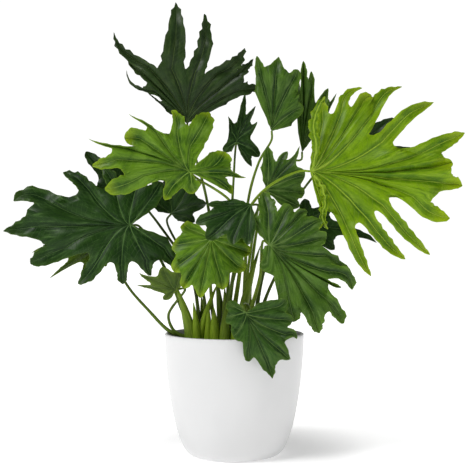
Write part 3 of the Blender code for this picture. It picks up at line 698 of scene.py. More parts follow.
@dataclass(frozen=True)
class LeafFinish:
    """A waxy leaf: its ground, with painted shade and a painted sheen in it, veins, thin margin, tips and
    underside.

    vein_width is the veins' width as a share of the usual, side_gap the way
    between two side veins in millimetres, and relief the skin's depth.
    """

    shaded_back: Colour
    light: Colour
    vein: Colour
    margin: Colour
    tip: Colour
    under: Colour
    vein_share: float = 0.75
    vein_width: float = 1.0
    margin_share: float = 0.5
    tip_share: float = 0.5
    rough: float = 0.36
    side_gap: float = 6.5
    relief: float = 1.5
    shine: float = 0.11

    def build(self, name: str) -> list[bpy.types.Material]:
        """Makes the upper side's and the underside's materials.

        A vein is a line about its own centre that thins towards the tip. Side
        veins are lines of equal value of the way along less the way out from
        the vein. The margin is a line along the free edge.

        Args:
            name: the leaf finish's name.

        Returns:
            The upper side's material and the underside's.
        """
        return [self._side(f"{name}_top", False), self._side(f"{name}_under", True)]

    def _side(self, name: str, under: bool) -> bpy.types.Material:
        """Makes one side's material under a name.

        The ground carries painted shade beside a vein, where the valley between
        pleats falls into shade, and a cloud that is partly the leaf's own mottle and
        partly painted light and shade. Streaks that are drawn out along the veins
        add a painted sheen and painted shade.
        """
        graph = Graph(name)
        place = graph.place()
        out, along, margin, run = (graph.attribute(key) for key in ("vein", "along", "margin", "run"))
        cloud = graph.noise(place, 30.0, 5.0, 0.8)
        speck = graph.noise(place, 460.0, 3.0)
        wander = graph.noise(place, 90.0, 2.0) * 3.0
        line = graph.band(out / ((1.75 - 1.35 * run) * self.vein_width), 0.85, 0.30)
        # Painted shade: a band beside each vein, where the valley's shade falls.
        valley_shade = graph.band(out / (5.5 - 4.0 * run), 1.0, 0.1)
        side = (along * 0.9 - out * 0.8 + wander) * (1.0 / self.side_gap)
        side = graph.node("ShaderNodeMath", {"operation": "PINGPONG"}, {0: side, 1: 0.5}) * 2.0
        lines = graph.band(side, 0.82, 1.0) * graph.band(margin, 0.5, 4.0)
        edge = graph.band(margin, 1.5, 0.4)
        glow = graph.band(margin, 9.0, 0.0) * cloud
        # Painted shade and light: darker within 9 mm of a vein, plus a cloud that is partly the leaf's own
        # mottle and partly painted light and shade.
        painted_light_share = graph.band(out, 0.0, 9.0) * 0.65 + graph.band(cloud, 0.30, 0.70) * 0.6 - 0.12
        ground = graph.mix(painted_light_share, self.shaded_back, self.light)
        if under:
            ground = graph.mix(0.72, ground, self.under)
        # Painted sheen and painted shade: streaks drawn out along the veins lighten the ground towards the
        # vein colour as a painted highlight, and darken it towards the deep colour as painted shade.
        drawn = {"X": out * 0.30, "Y": along * 0.045, "Z": cloud * 0.8}
        painted_streak = graph.noise(graph.node("ShaderNodeCombineXYZ", {}, drawn), 1.0, 3.0, 0.4)
        ground = graph.mix(graph.band(painted_streak, 0.50, 0.74) * 0.5, ground, self.vein)
        ground = graph.mix(graph.band(painted_streak, 0.47, 0.28) * 0.60, ground, self.shaded_back)
        colour = graph.mix(glow * self.margin_share * 0.45, ground, self.margin)
        colour = graph.mix(graph.band(run, 0.82, 1.0) * self.tip_share, colour, self.tip)
        colour = graph.mix(lines * 0.20, colour, self.vein)
        # Painted shade: fine specks darken the band beside each vein.
        colour = graph.mix(speck * valley_shade * 0.25, colour, self.shaded_back)
        colour = graph.mix(edge * self.margin_share, colour, self.margin)
        colour = graph.mix(line * self.vein_share, colour, self.vein)
        way = 1.0 if under else -1.0
        swell = graph.noise(place, 34.0, 1.0)
        relief = 0.5 + way * 0.5 * line + way * 0.26 * lines
        relief = relief + 0.16 * cloud + 0.10 * speck + 2.4 * swell
        rough = self.rough + (0.16 if under else 0.0) + 0.16 * cloud
        return graph.finish(
            Base_Color=colour, Roughness=rough, Normal=graph.bump(relief, self.relief, 0.9),
            Specular_IOR_Level=0.12, Coat_Weight=0.0 if under else self.shine, Coat_Roughness=0.30,
        )


class Tone(Enum):
    """How old a leaf is and how much shade is painted into it, which sets its finish."""

    DARK = LeafFinish(
        (0.004, 0.022, 0.002), (0.018, 0.056, 0.006), (0.10, 0.20, 0.05), (0.10, 0.18, 0.02),
        (0.03, 0.07, 0.008), (0.035, 0.08, 0.015),
    )
    SHADY = LeafFinish(
        (0.007, 0.030, 0.002), (0.042, 0.108, 0.012), (0.13, 0.23, 0.05), (0.12, 0.21, 0.02),
        (0.05, 0.11, 0.010), (0.04, 0.09, 0.018),
    )
    DUSKY = LeafFinish(
        (0.008, 0.022, 0.004), (0.026, 0.056, 0.012), (0.075, 0.12, 0.03), (0.05, 0.08, 0.012),
        (0.02, 0.05, 0.006), (0.03, 0.065, 0.014), margin_share=0.35,
    )
    MID = LeafFinish(
        (0.009, 0.038, 0.002), (0.072, 0.158, 0.014), (0.16, 0.27, 0.06), (0.15, 0.26, 0.02),
        (0.08, 0.16, 0.012), (0.055, 0.11, 0.02),
    )
    # Painted shade: a darker copy of the leaf colours for the leaves at the back, which stand in shade.
    SHADED_BACK = LeafFinish(
        (0.005, 0.022, 0.002), (0.017, 0.048, 0.007), (0.05, 0.10, 0.02), (0.05, 0.09, 0.012),
        (0.02, 0.045, 0.006), (0.025, 0.055, 0.012), margin_share=0.3,
    )
    OLIVE = LeafFinish(
        (0.030, 0.068, 0.003), (0.088, 0.150, 0.008), (0.13, 0.20, 0.03), (0.17, 0.25, 0.015),
        (0.10, 0.15, 0.010), (0.08, 0.13, 0.015), vein_share=0.5,
    )
    FRESH = LeafFinish(
        (0.014, 0.060, 0.001), (0.118, 0.245, 0.010), (0.24, 0.40, 0.05), (0.24, 0.37, 0.010),
        (0.28, 0.40, 0.006), (0.08, 0.16, 0.015), margin_share=0.55, tip_share=0.7, rough=0.38,
    )
    BRIGHT = LeafFinish(
        (0.042, 0.124, 0.001), (0.180, 0.328, 0.002), (0.32, 0.47, 0.035), (0.30, 0.43, 0.005),
        (0.34, 0.46, 0.004), (0.10, 0.19, 0.008), vein_share=0.85, vein_width=1.7, margin_share=0.55,
        tip_share=0.6, rough=0.38,
    )


@dataclass(frozen=True)
class StalkFinish:
    """A fleshy stalk: streaked along its length, browner at its foot."""

    green: Colour
    pale: Colour
    brown: Colour

    def build(self, name: str) -> bpy.types.Material:
        """Makes the material under a name."""
        graph = Graph(name)
        place = graph.place()
        run, turn = graph.attribute("run"), graph.attribute("turn")
        where = graph.node("ShaderNodeCombineXYZ", {}, {"X": turn, "Y": run})
        streaks = graph.noise(graph.stretched(where, (5.0, 2.5, 1.0)), 3.0, 4.0, 0.4)
        patches = graph.noise(place, 42.0, 3.0)
        colour = graph.mix(graph.band(streaks, 0.35, 0.65), self.green, self.pale)
        colour = graph.mix(graph.band(patches, 0.56, 0.74) * 0.6, colour, self.brown)
        colour = graph.mix(graph.band(run, 0.16, 0.0) * 0.55, colour, self.brown)
        return graph.finish(
            Base_Color=colour, Roughness=0.40 + 0.2 * patches, Normal=graph.bump(streaks, 0.35, 0.8),
            Specular_IOR_Level=0.2, Coat_Weight=0.02, Coat_Roughness=0.25,
        )


_DARK_STALK = StalkFinish((0.060, 0.115, 0.008), (0.15, 0.23, 0.025), (0.06, 0.07, 0.012))
# Painted shade: darker stalk colours for the leaves at the back, which stand in shade.
_SHADED_BACK_STALK = StalkFinish((0.040, 0.075, 0.006), (0.10, 0.16, 0.018), (0.05, 0.055, 0.010))
_PALE_STALK = StalkFinish((0.100, 0.185, 0.008), (0.25, 0.36, 0.035), (0.12, 0.15, 0.015))
_SHEATH = StalkFinish((0.115, 0.225, 0.004), (0.30, 0.42, 0.025), (0.13, 0.19, 0.010))
STALK_FINISHES = {
    Tone.DARK: _DARK_STALK, Tone.SHADY: _DARK_STALK, Tone.DUSKY: _DARK_STALK, Tone.MID: _PALE_STALK,
    Tone.SHADED_BACK: _SHADED_BACK_STALK, Tone.OLIVE: _DARK_STALK, Tone.FRESH: _PALE_STALK, Tone.BRIGHT: _SHEATH,
}


# ------------------------------------------------------------------ leaves and stalks


@dataclass
class Lobe:
    """One lobe of a blade.

    angle and reach place its tip from the blade's base: degrees to the left of
    the midrib, and the distance. half is half the lobe's width, and station how
    far its vein follows the midrib before it turns away. bow bends the lobe to
    the left in its middle, and hook turns its last stretch to the left. sharp
    runs from 0, a round tip, to 1, a drawn-out point.
    """

    angle: float
    reach: float
    half: float
    station: float = 0.0
    bow: float = 0.0
    hook: float = 0.0
    sharp: float = 0.5

    def tip(self) -> Array:
        """The tip's place in the blade's plane."""
        return polar(self.angle, self.reach)

    def curve(self, middle: Array, shares: Array) -> tuple[Array, Array]:
        """The free part of the vein.

        It leaves the middle of the two notches and bends once to the tip, as a
        quadratic curve, then bow adds an arc across it and hook a late turn.

        Args:
            middle: the place midway between the notches.
            shares: how far along the free part each row is.

        Returns:
            The vein's places, and the direction to its left at each.
        """
        chord = self.tip() - middle
        length = np.linalg.norm(chord)
        side = np.array([-chord[1], chord[0]]) / length
        ahead = unit(middle - np.array([self.station, 0.0]))
        control = middle + 0.5 * length * unit(ahead + chord / length)
        t = shares[:, None]
        points = (1.0 - t) ** 2 * middle + 2.0 * t * (1.0 - t) * control + t**2 * self.tip()
        points = points + side * (4.0 * self.bow * t * (1.0 - t) + self.hook * (t**4 - t))
        tangent = 2.0 * (1.0 - t) * (control - middle) + 2.0 * t * (self.tip() - control)
        tangent = unit(tangent + side * (4.0 * self.bow * (1.0 - 2.0 * t) + self.hook * (4.0 * t**3 - 1.0)))
        return points, np.stack([-tangent[:, 1], tangent[:, 0]], axis=1)

    def edge(self, middle: Array, notch: Array, way: int, vein: Array, left: Array, shares: Array) -> Array:
        """The free edge on one side: round out of the notch, then beside the vein to the tip.

        Args:
            middle: the place midway between the notches.
            notch: the notch on this side.
            way: 1 on the left and -1 on the right.
            vein: the vein's places.
            left: the direction to the vein's left at each.
            shares: how far along the free part each row is.

        Returns:
            The edge's places.
        """
        reach = np.linalg.norm(self.tip() - middle)
        root = way * float(np.dot(notch - middle, left[0]))
        slip = notch - middle - way * left[0] * root
        swell = np.sqrt(1.0 - (1.0 - np.clip(shares * reach / SINUS_ROUND, 0.0, 1.0)) ** 2)
        narrowing = (1.0 - shares ** (5.0 - 4.0 * self.sharp)) ** (0.6 + 0.4 * self.sharp)
        width = (root + (self.half - root) * swell) * narrowing
        return vein + way * left * width[:, None] + slip * ((1.0 - shares) ** 3)[:, None]


def polar(angle: float, reach: float) -> Array:
    """A place in the blade's plane, angle degrees to the left of the midrib."""
    return reach * np.array([math.cos(math.radians(angle)), math.sin(math.radians(angle))])


def heading(clock: float, toward: float) -> Array:
    """The direction at clock degrees from +X seen from the front, turned towards the front."""
    clock, toward = math.radians(clock), math.radians(toward)
    level = math.cos(toward)
    return np.array([math.cos(clock) * level, -math.sin(toward), math.sin(clock) * level])


def body_curve(station: float, end: Array, shares: Array) -> Array:
    """A line from the base that follows the midrib up to a station, then turns to its end."""
    t = shares[:, None]
    return 2.0 * t * (1.0 - t) * np.array([station, 0.0]) + t**2 * end


def rolled(flat: Array, raised: Array, curl: float) -> tuple[Array, Array]:
    """Curls a sheet down along one of its directions, on a circle.

    Args:
        flat: each point's place in that direction.
        raised: its height.
        curl: how much the sheet turns, in radians per metre.

    Returns:
        The new places and heights.
    """
    curl = curl * MM
    reach = 1.0 / curl + raised
    return np.sin(curl * flat) * reach, np.cos(curl * flat) * reach - 1.0 / curl


SINUS_ROUND = 14.0
BODY_ROWS, LOBE_ROWS = 9, 18
HALF_ACROSS = np.array([1.0, 0.94, 0.82, 0.64, 0.44, 0.24, 0.08])
ACROSS = np.concatenate([HALF_ACROSS, [0.0], -HALF_ACROSS[::-1]])


@dataclass
class Blade:
    """A lobed blade.

    base is where the stalk meets it. aim is the midrib's direction and face the
    upper side's, each as (degrees anticlockwise from +X seen from the front,
    degrees from that plane towards the front). outline runs from the left basal
    corner round the tip to the right one: a pair (angle, reach) is a notch
    between two lobes or a basal corner. arch curls the blade down along the
    midrib and cross across it, in radians per metre. droop is how far the tip
    of a lobe bends down when it stands 100 mm beyond its notches. crown and
    slot say where the stalk is rooted, and route where it passes. pleat is how
    high the blade stands between two veins as a share of the way out, wave how
    far its free margins swing up and down, in millimetres, fringe how much of
    that they swing in and out, and swell how high its slow waves stand.
    """

    name: str
    base: tuple
    aim: tuple
    face: tuple
    outline: list
    tone: Tone = Tone.DARK
    arch: float = 0.0
    cross: float = 3.0
    droop: float = 6.0
    over_rim: bool = False
    crown: str = "a"
    slot: int = 0
    route: list = field(default_factory=list)
    root_radius: float = 3.2
    arrive: float = 38.0
    pleat: float = 0.055
    wave: float = 1.1
    fringe: float = 0.45
    swell: float = 4.2

    def axes(self) -> tuple[Array, Array, Array]:
        """The midrib's, left and upper directions."""
        along, facing = heading(*self.aim), heading(*self.face)
        up = unit(facing - np.dot(facing, along) * along)
        return along, np.cross(up, along), up

    def place(self, pots: Pots) -> Array:
        """Where the stalk meets the blade."""
        place = np.array(self.base, float) + np.array([0.0, 0.0, pots.height])
        if self.over_rim:
            place[1] = -pots.rim - OVERHANG
        return place

    def strip(
        self, lobe: Lobe, sides: list[tuple], first: bool, last: bool, dice: np.random.Generator
    ) -> Surface:
        """One lobe with its wedge of the blade, on a grid.

        The point at (row, across) lies between the vein and an edge: across is
        1 on the left edge, 0 on the vein and -1 on the right edge. Its height is
        the lobe's droop, plus an arch from the vein, where it is a valley, to
        the edge, plus waves that grow towards a free margin, plus a slow twist.

        Args:
            lobe: the lobe.
            sides: the (notch, station) on its left and on its right.
            first: whether its left side is the blade's own edge.
            last: whether its right side is.
            dice: gives the waves and the twist.

        Returns:
            The strip, flat in its plane, with its height as the third coordinate.
        """
        inside = np.linspace(0.0, 1.0, BODY_ROWS + 1)
        free = 0.5 - 0.5 * np.cos(math.pi * np.arange(LOBE_ROWS + 1) / LOBE_ROWS)
        middle = 0.5 * (sides[0][0] + sides[1][0])
        vein, left = lobe.curve(middle, free)
        edges = [
            np.concatenate([
                body_curve(start, notch, inside), lobe.edge(middle, notch, way, vein, left, free)[1:],
            ])
            for way, (notch, start) in zip((1, -1), sides)
        ]
        vein = np.concatenate([body_curve(lobe.station, middle, inside), vein[1:]])
        away = np.concatenate([np.zeros(BODY_ROWS), free])
        reach = np.linalg.norm(lobe.tip() - middle)
        steps = np.concatenate([[0.0], np.cumsum(np.linalg.norm(np.diff(vein, axis=0), axis=1))])
        flat, arch, half = [], [], []
        for edge, (notch, _) in zip(edges, sides):
            wide = np.linalg.norm(edge - vein, axis=1)
            height = self.pleat * np.linalg.norm(edge, axis=1)
            root = max(wide[BODY_ROWS], 0.5)
            height[BODY_ROWS:] = height[BODY_ROWS] * np.minimum(wide[BODY_ROWS:] / root, 1.15)
            flat.append(edge - vein)
            arch.append(height)
            half.append(wide)
        share = np.abs(ACROSS)
        pick = (ACROSS < 0).astype(int)
        flat, arch, half = (np.stack(both, 1)[:, pick] for both in (flat, arch, half))
        points = vein[:, None] + share[None, :, None] * flat
        loose = np.clip(away * reach / 16.0, 0.0, 1.0)[:, None] * np.ones(len(ACROSS))
        loose[:BODY_ROWS, (ACROSS > 0) & first | (ACROSS < 0) & last] = 1.0
        loose *= np.clip(half / 6.0, 0.0, 1.0)
        length, starts = dice.uniform(11.0, 19.0), dice.uniform(0.0, 2.0 * math.pi, 2)
        swing = np.sin(2.0 * math.pi * steps[:, None] / length + starts[pick])
        swing = swing + 0.5 * np.sin(5.1 * math.pi * steps[:, None] / length + 2.0 * starts[pick])
        swing = self.wave * swing * loose * share**3
        outward = flat / np.maximum(half, 1e-6)[..., None]
        points = points + outward * (self.fringe * swing)[..., None]
        twist = dice.uniform(-0.28, 0.28) * np.sign(ACROSS) * share * half * away[:, None] ** 1.5
        lift = dice.uniform(-5.0, 3.0) * (away[:, None] * min(reach / 60.0, 1.0)) ** 2
        droop = -self.droop * (reach / 100.0 * away[:, None]) ** 2
        height = droop + lift + twist + arch * np.sin(share * math.pi / 2.0) + swing
        inward = (1.0 - share) * half
        margin = np.minimum(*(np.linalg.norm(points - notch, axis=-1) for notch, _ in sides))
        margin = np.where(away[:, None] > 0.0, inward, margin)
        body = slice(0, BODY_ROWS)
        margin[body] = np.where(loose[body] > 0.0, inward[body], margin[body])
        carried = {
            "vein": share * half, "along": steps[:, None] + 0.0 * share, "margin": margin,
            "run": (steps / steps[-1])[:, None] + 0.0 * share,
        }
        places = np.concatenate([points, height[..., None]], axis=-1).transpose(1, 0, 2)
        carried = {key: values.T.reshape(-1) for key, values in carried.items()}
        return Surface(places.reshape(-1, 3), grid_quads(len(ACROSS), len(steps)), carried)

    def cockle(self, points: Array, starts: Array) -> Array:
        """How far the blade's surface swells: two crossed slow waves that grow away from the stalk."""
        grown = np.clip(np.hypot(points[:, 0], points[:, 1]) / 90.0, 0.0, 1.0)
        slow = np.sin(points[:, 0] / 15.0 + starts[0]) * np.cos(points[:, 1] / 13.0 + starts[1])
        quick = np.sin(points[:, 0] / 7.0 - points[:, 1] / 9.0 + starts[2])
        return self.swell * grown * (slow + 0.35 * quick)

    def bend(self, points: Array) -> Array:
        """Curls flat points down across the midrib, then along it, each on a circle."""
        along, across, raised = points.T
        across, raised = rolled(across, raised, self.cross)
        if self.arch:
            along, raised = rolled(along, raised, self.arch)
        return np.stack([along, across, raised], axis=-1)

    def build(self, pots: Pots) -> None:
        """Makes the blade: its strips welded into one sheet, thickened by a Solidify modifier."""
        dice = np.random.default_rng(sum(map(ord, self.name)))
        lobes, notches = self.outline[1::2], [polar(*notch) for notch in self.outline[0::2]]
        stations = [lobe.station for lobe in lobes]
        starts = [0.0] + [0.5 * (a + b) for a, b in zip(stations, stations[1:])] + [0.0]
        ends = list(zip(notches, starts))
        parts = [
            self.strip(lobe, ends[index:index + 2], index == 0, index == len(lobes) - 1, dice)
            for index, lobe in enumerate(lobes)
        ]
        sheet = Surface.joined(parts)
        sheet.points[:, 2] += self.cockle(sheet.points, dice.uniform(0.0, 2.0 * math.pi, 3))
        sheet.points = self.bend(sheet.points) @ np.stack(self.axes()) + self.place(pots)
        node = f"blade_{self.name}"
        made = sheet.welded().piece(f"leaf_{self.name}", leaf_finishes(self.tone), node, node)
        thicken(made, LEAF_THICKNESS, 1)


@cache
def leaf_finishes(tone: Tone) -> list[bpy.types.Material]:
    """The materials of a tone's two sides, made once."""
    return tone.value.build(f"leaf_{tone.name.lower()}")


@cache
def stalk_finish(tone: Tone) -> bpy.types.Material:
    """The stalk material that goes with a tone, made once."""
    return STALK_FINISHES[tone].build(f"stalk_{tone.name.lower()}")


def smooth_path(points: Array, count: int) -> Array:
    """A centripetal spline through points, read at evenly spaced places.

    Between two points it blends the straight lines through each neighbouring
    pair, with knots spaced by the square root of the distance.

    Args:
        points: the places that it passes through.
        count: how many places are wanted.

    Returns:
        The places along it.
    """
    spans = np.sqrt(np.linalg.norm(np.diff(points, axis=0), axis=1))
    knots = np.concatenate([[0.0], np.cumsum(spans)])
    padded = np.concatenate([[2 * points[0] - points[1]], points, [2 * points[-1] - points[-2]]])
    times = np.concatenate([[-spans[0]], knots, [knots[-1] + spans[-1]]])
    fine = []
    for index in range(1, len(padded) - 2):
        a, b, c, d = padded[index - 1 : index + 3]
        ta, tb, tc, td = times[index - 1 : index + 3]
        t = np.linspace(tb, tc, 24, endpoint=index == len(padded) - 3)[:, None]
        ab = a + (b - a) * (t - ta) / (tb - ta)
        bc = b + (c - b) * (t - tb) / (tc - tb)
        cd = c + (d - c) * (t - tc) / (td - tc)
        abc = ab + (bc - ab) * (t - ta) / (tc - ta)
        bcd = bc + (cd - bc) * (t - tb) / (td - tb)
        fine.append(abc + (bcd - abc) * (t - tb) / (tc - tb))
    fine = np.concatenate(fine)
    length = np.concatenate([[0.0], np.cumsum(np.linalg.norm(np.diff(fine, axis=0), axis=1))])
    wanted = np.linspace(0.0, length[-1], count)
    return np.stack([np.interp(wanted, length, fine[:, axis]) for axis in range(3)], axis=1)


def tube(path: Array, radii: Array, sides: int, groove: float = 0.0) -> Surface:
    """A closed tube along a path.

    The point at (ring, turn) stands off the path by the ring's radius in the
    direction turn, which is carried along the path without twisting. Where the
    direction is the first one, a groove makes the radius smaller.

    Args:
        path: the rings' middles.
        radii: the rings' radii.
        sides: how many points a ring has.
        groove: the depth of the groove as a share of the radius.

    Returns:
        The tube, with the share of the way along it and its turn carried.
    """
    tangents = unit(np.gradient(path, axis=0))
    across = [unit(np.cross(tangents[0], np.cross(np.array([0.1, -1.0, 0.2]), tangents[0])))]
    for tangent in tangents[1:]:
        across.append(unit(across[-1] - np.dot(across[-1], tangent) * tangent))
    across = np.stack(across)
    other = np.cross(tangents, across)
    turn = full_turn(sides)
    share = np.linspace(0.0, 1.0, len(path))
    depth = 1.0 - groove * np.clip(np.cos(turn), 0.0, 1.0) ** 6
    off = across[:, None] * np.cos(turn)[:, None] + other[:, None] * np.sin(turn)[:, None]
    rings = path[:, None] + off * (radii[:, None] * depth)[..., None]
    ends = [np.broadcast_to(path[end], (1, sides, 3)) for end in (0, -1)]
    points = np.concatenate([ends[0], rings, ends[1]])
    run = np.concatenate([[0.0], share, [1.0]])[:, None] + 0.0 * turn
    about = 0.0 * run + np.abs(turn - math.pi)
    quads = grid_quads(len(points), sides, True)[:, ::-1]
    return Surface(points.reshape(-1, 3), quads, {"run": run.reshape(-1), "turn": about.reshape(-1)})


@dataclass
class Stalk:
    """A stalk from its crown to its blade, swollen at its foot and grooved on one side.

    lead is how far before its end it turns to its blade, foot the spacing of the
    upright places that it first passes through, and gap how far its root stands
    above its crown's top.
    """

    blade: Blade
    bed: Bed
    end_radius: float = 1.5
    lead: float = 14.0
    foot: float = 3.0
    gap: float = 0.35
    rings: int = 72
    sides: int = 18
    groove: float = 0.22

    def path(self) -> Array:
        """The centre line, which rises straight off the crown and arrives under the blade."""
        crown = CROWNS[self.blade.crown]
        turn = math.radians(crown.turn + 360.0 * self.blade.slot / crown.slots)
        top = self.bed.top() + self.bed.proud + self.gap
        root = np.array([crown.x + crown.ring * math.cos(turn), crown.y + crown.ring * math.sin(turn), top])
        forward, _, up = self.blade.axes()
        steep = math.radians(self.blade.arrive)
        arrival = unit(up * math.sin(steep) + forward * math.cos(steep))
        under = LEAF_THICKNESS / 2.0 + self.end_radius * math.cos(steep)
        end = self.blade.place(self.bed.pots) - up * under
        middle = [np.array([x, y, z + self.bed.pots.height]) for x, y, z in self.blade.route]
        upright = np.array([0.0, 0.0, self.foot])
        through = [root + upright, root + 3.0 * upright, *middle, end - arrival * self.lead, end]
        above = smooth_path(np.array(through), self.rings - 1)
        return np.concatenate([[root - upright], above])

    def radii(self) -> Array:
        """The radius at each ring: thick at the crown, thinning to the blade, with faint joints."""
        share = np.linspace(0.0, 1.0, self.rings)
        root = self.blade.root_radius
        slim = self.end_radius + 0.35 * (root - self.end_radius) * (1.0 - share) ** 0.7
        swollen = slim + (1.55 * root - slim[0]) * (1.0 - share) ** 5
        return swollen * (1.0 + 0.16 * np.sin(math.pi * share)) + 0.06 * np.sin(share * 47.0)

    def build(self) -> None:
        """Makes the stalk."""
        name = f"stalk_{self.blade.name}"
        surface = tube(self.path(), self.radii(), self.sides, self.groove).welded()
        surface.piece(f"stem_{self.blade.name}", [stalk_finish(self.blade.tone)], name, name)


@dataclass
class Sheath:
    """An open, pointed sheath that wraps the foot of some stalks.

    x and y are its middle at its foot. turn is the way that its closed side
    faces, in degrees from +X, lean and toward how far its tip stands to the
    right and to the front of its foot, and open_turn how far it wraps each way.
    """

    name: str
    x: float
    y: float
    width: float
    height: float
    turn: float
    lean: float = 0.0
    toward: float = 0.0
    tone: Tone = Tone.MID
    open_turn: float = 118.0
    thickness: float = 0.7

    def build(self, bed: Bed) -> None:
        """Makes the sheath.

        The point at (rise, way round) stands off the middle line by half the
        width, less towards the pointed tip, where the open sides close in. The
        middle line leans faster as it rises. Faint ribs run upwards.

        Args:
            bed: the soil that it stands on.
        """
        rows, columns = 40, 33
        rise = np.linspace(0.0, 1.0, rows)[:, None]
        around = np.linspace(-1.0, 1.0, columns)[None, :]
        wrap = math.radians(self.open_turn) * np.sqrt(np.clip(1.0 - rise**2.2, 0.0, 1.0)) + 0.02
        angle = math.radians(self.turn) + around * wrap
        ribs = 0.30 * np.abs(np.sin(around * 17.0)) * (1.0 - 0.6 * rise)
        stand = 0.5 * self.width * (1.08 - 0.98 * rise**1.5) - ribs
        x = self.x + self.lean * rise**1.6 + stand * np.cos(angle)
        y = self.y - self.toward * rise**1.6 + stand * np.sin(angle)
        z = bed.top() + 2.0 + self.height * rise + 0.0 * around
        run = 0.18 + 0.6 * rise + 0.0 * around
        points = np.stack([x, y, z], axis=-1).reshape(-1, 3)
        carried = {"run": run.reshape(-1), "turn": (1.5 * around + 0.0 * rise).reshape(-1)}
        surface = Surface(points, grid_quads(rows, columns)[:, ::-1], carried)
        made = surface.piece(f"sheath_{self.name}", [stalk_finish(self.tone)], "crown_c")
        thicken(made, self.thickness)


SHEATHS = [
    Sheath("a", -60.0, -14.0, 18.0, 92.0, 250.0, -24.0, 2.0, Tone.MID),
    Sheath("a_right", -52.0, -20.0, 13.0, 66.0, 265.0, -6.0, 2.0, Tone.BRIGHT),
    Sheath("b_left", -50.0, -16.0, 12.0, 94.0, 265.0, 27.0, 2.0, Tone.BRIGHT),
    Sheath("b_right", -37.0, -22.0, 12.0, 62.0, 270.0, 1.0, 2.0, Tone.BRIGHT),
    Sheath("c_left", -27.0, -24.0, 17.0, 60.0, 262.0, -2.0, 3.0, Tone.BRIGHT),
    Sheath("c_right", -14.0, -25.0, 17.0, 66.0, 276.0, 3.0, 3.0, Tone.FRESH),
    Sheath("c_tall", -12.0, -12.0, 14.0, 88.0, 275.0, -2.0, 3.0, Tone.MID),
    Sheath("d_tall", 6.0, -18.0, 16.0, 146.0, 262.0, 31.0, 6.0, Tone.FRESH),
    Sheath("d_left", 2.0, -26.0, 16.0, 60.0, 262.0, 2.0, 4.0, Tone.BRIGHT),
    Sheath("d_right", 24.0, -11.0, 15.0, 66.0, 290.0, 8.0, 4.0, Tone.OLIVE),
    Sheath("d_back", 20.0, 8.0, 14.0, 80.0, 80.0, 4.0, -4.0),
    Sheath("c_back", -18.0, 6.0, 16.0, 84.0, 95.0, -3.0, -3.0),
    Sheath("b_back", -42.0, 4.0, 15.0, 74.0, 100.0, -6.0, -2.0),
]


@dataclass
class Curl:
    """A narrow, frilled strip where a leaf's own edge rolls forward.

    path holds the places that its middle passes through, from the middle of the
    rim. width is its widest, and frill how far its edge swings.
    """

    name: str
    path: list
    width: float
    frill: float
    tone: Tone = Tone.BRIGHT

    def build(self, pots: Pots) -> None:
        """Makes the strip.

        The point at (way, across) is the path's place at way, plus across times
        the half width, which tapers to both ends as the root of a sine, plus a
        wave to the front and back that grows towards the strip's two edges.

        Args:
            pots: the pots, whose rim the path is measured from.
        """
        rows, columns = 90, 15
        path = smooth_path(np.array(self.path, float) + [0.0, 0.0, pots.height], rows)
        way = np.linspace(0.0, 1.0, rows)[:, None]
        across = np.linspace(-1.0, 1.0, columns)[None, :]
        tangent = unit(np.gradient(path, axis=0))
        side = unit(np.cross(tangent, np.array([0.0, -1.0, 0.0])))
        half = 0.5 * self.width * np.sqrt(np.sin(math.pi * np.clip(way, 0.004, 0.996)))
        wave = np.sin(way * 41.0) + 0.6 * np.sin(way * 67.0 + 1.3)
        out = across * half + 0.35 * self.frill * wave * np.abs(across) * half / self.width
        front = self.frill * wave * across**2 * half / self.width - 0.35 * half * (1.0 - across**2)
        points = path[:, None] + side[:, None] * out[..., None]
        points = points + np.array([0.0, 1.0, 0.0]) * front[..., None]
        length = np.linalg.norm(np.diff(path, axis=0), axis=1).sum()
        flat = 0.0 * way + 0.0 * across
        carried = {
            "vein": np.abs(across) * half, "along": way * length + flat,
            "margin": (1.0 - np.abs(across)) * half, "run": 0.35 + 0.3 * way + flat,
        }
        carried = {key: values.reshape(-1) for key, values in carried.items()}
        surface = Surface(points.reshape(-1, 3), grid_quads(rows, columns)[:, ::-1], carried)
        made = surface.piece(f"curl_{self.name}", leaf_finishes(self.tone), "blade_right")
        thicken(made, LEAF_THICKNESS, 1)


CURLS = [
    Curl(
        "right_upper",
        [(110, -44, 236), (114, -49, 262), (110, -50, 292), (117, -48, 318), (127, -44, 334)], 13.0, 9.0,
    ),
    Curl(
        "right_lower",
        [(112, -44, 224), (122, -49, 206), (126, -50, 184), (122, -49, 166), (130, -48, 148)], 9.0, 8.0,
    ),
]


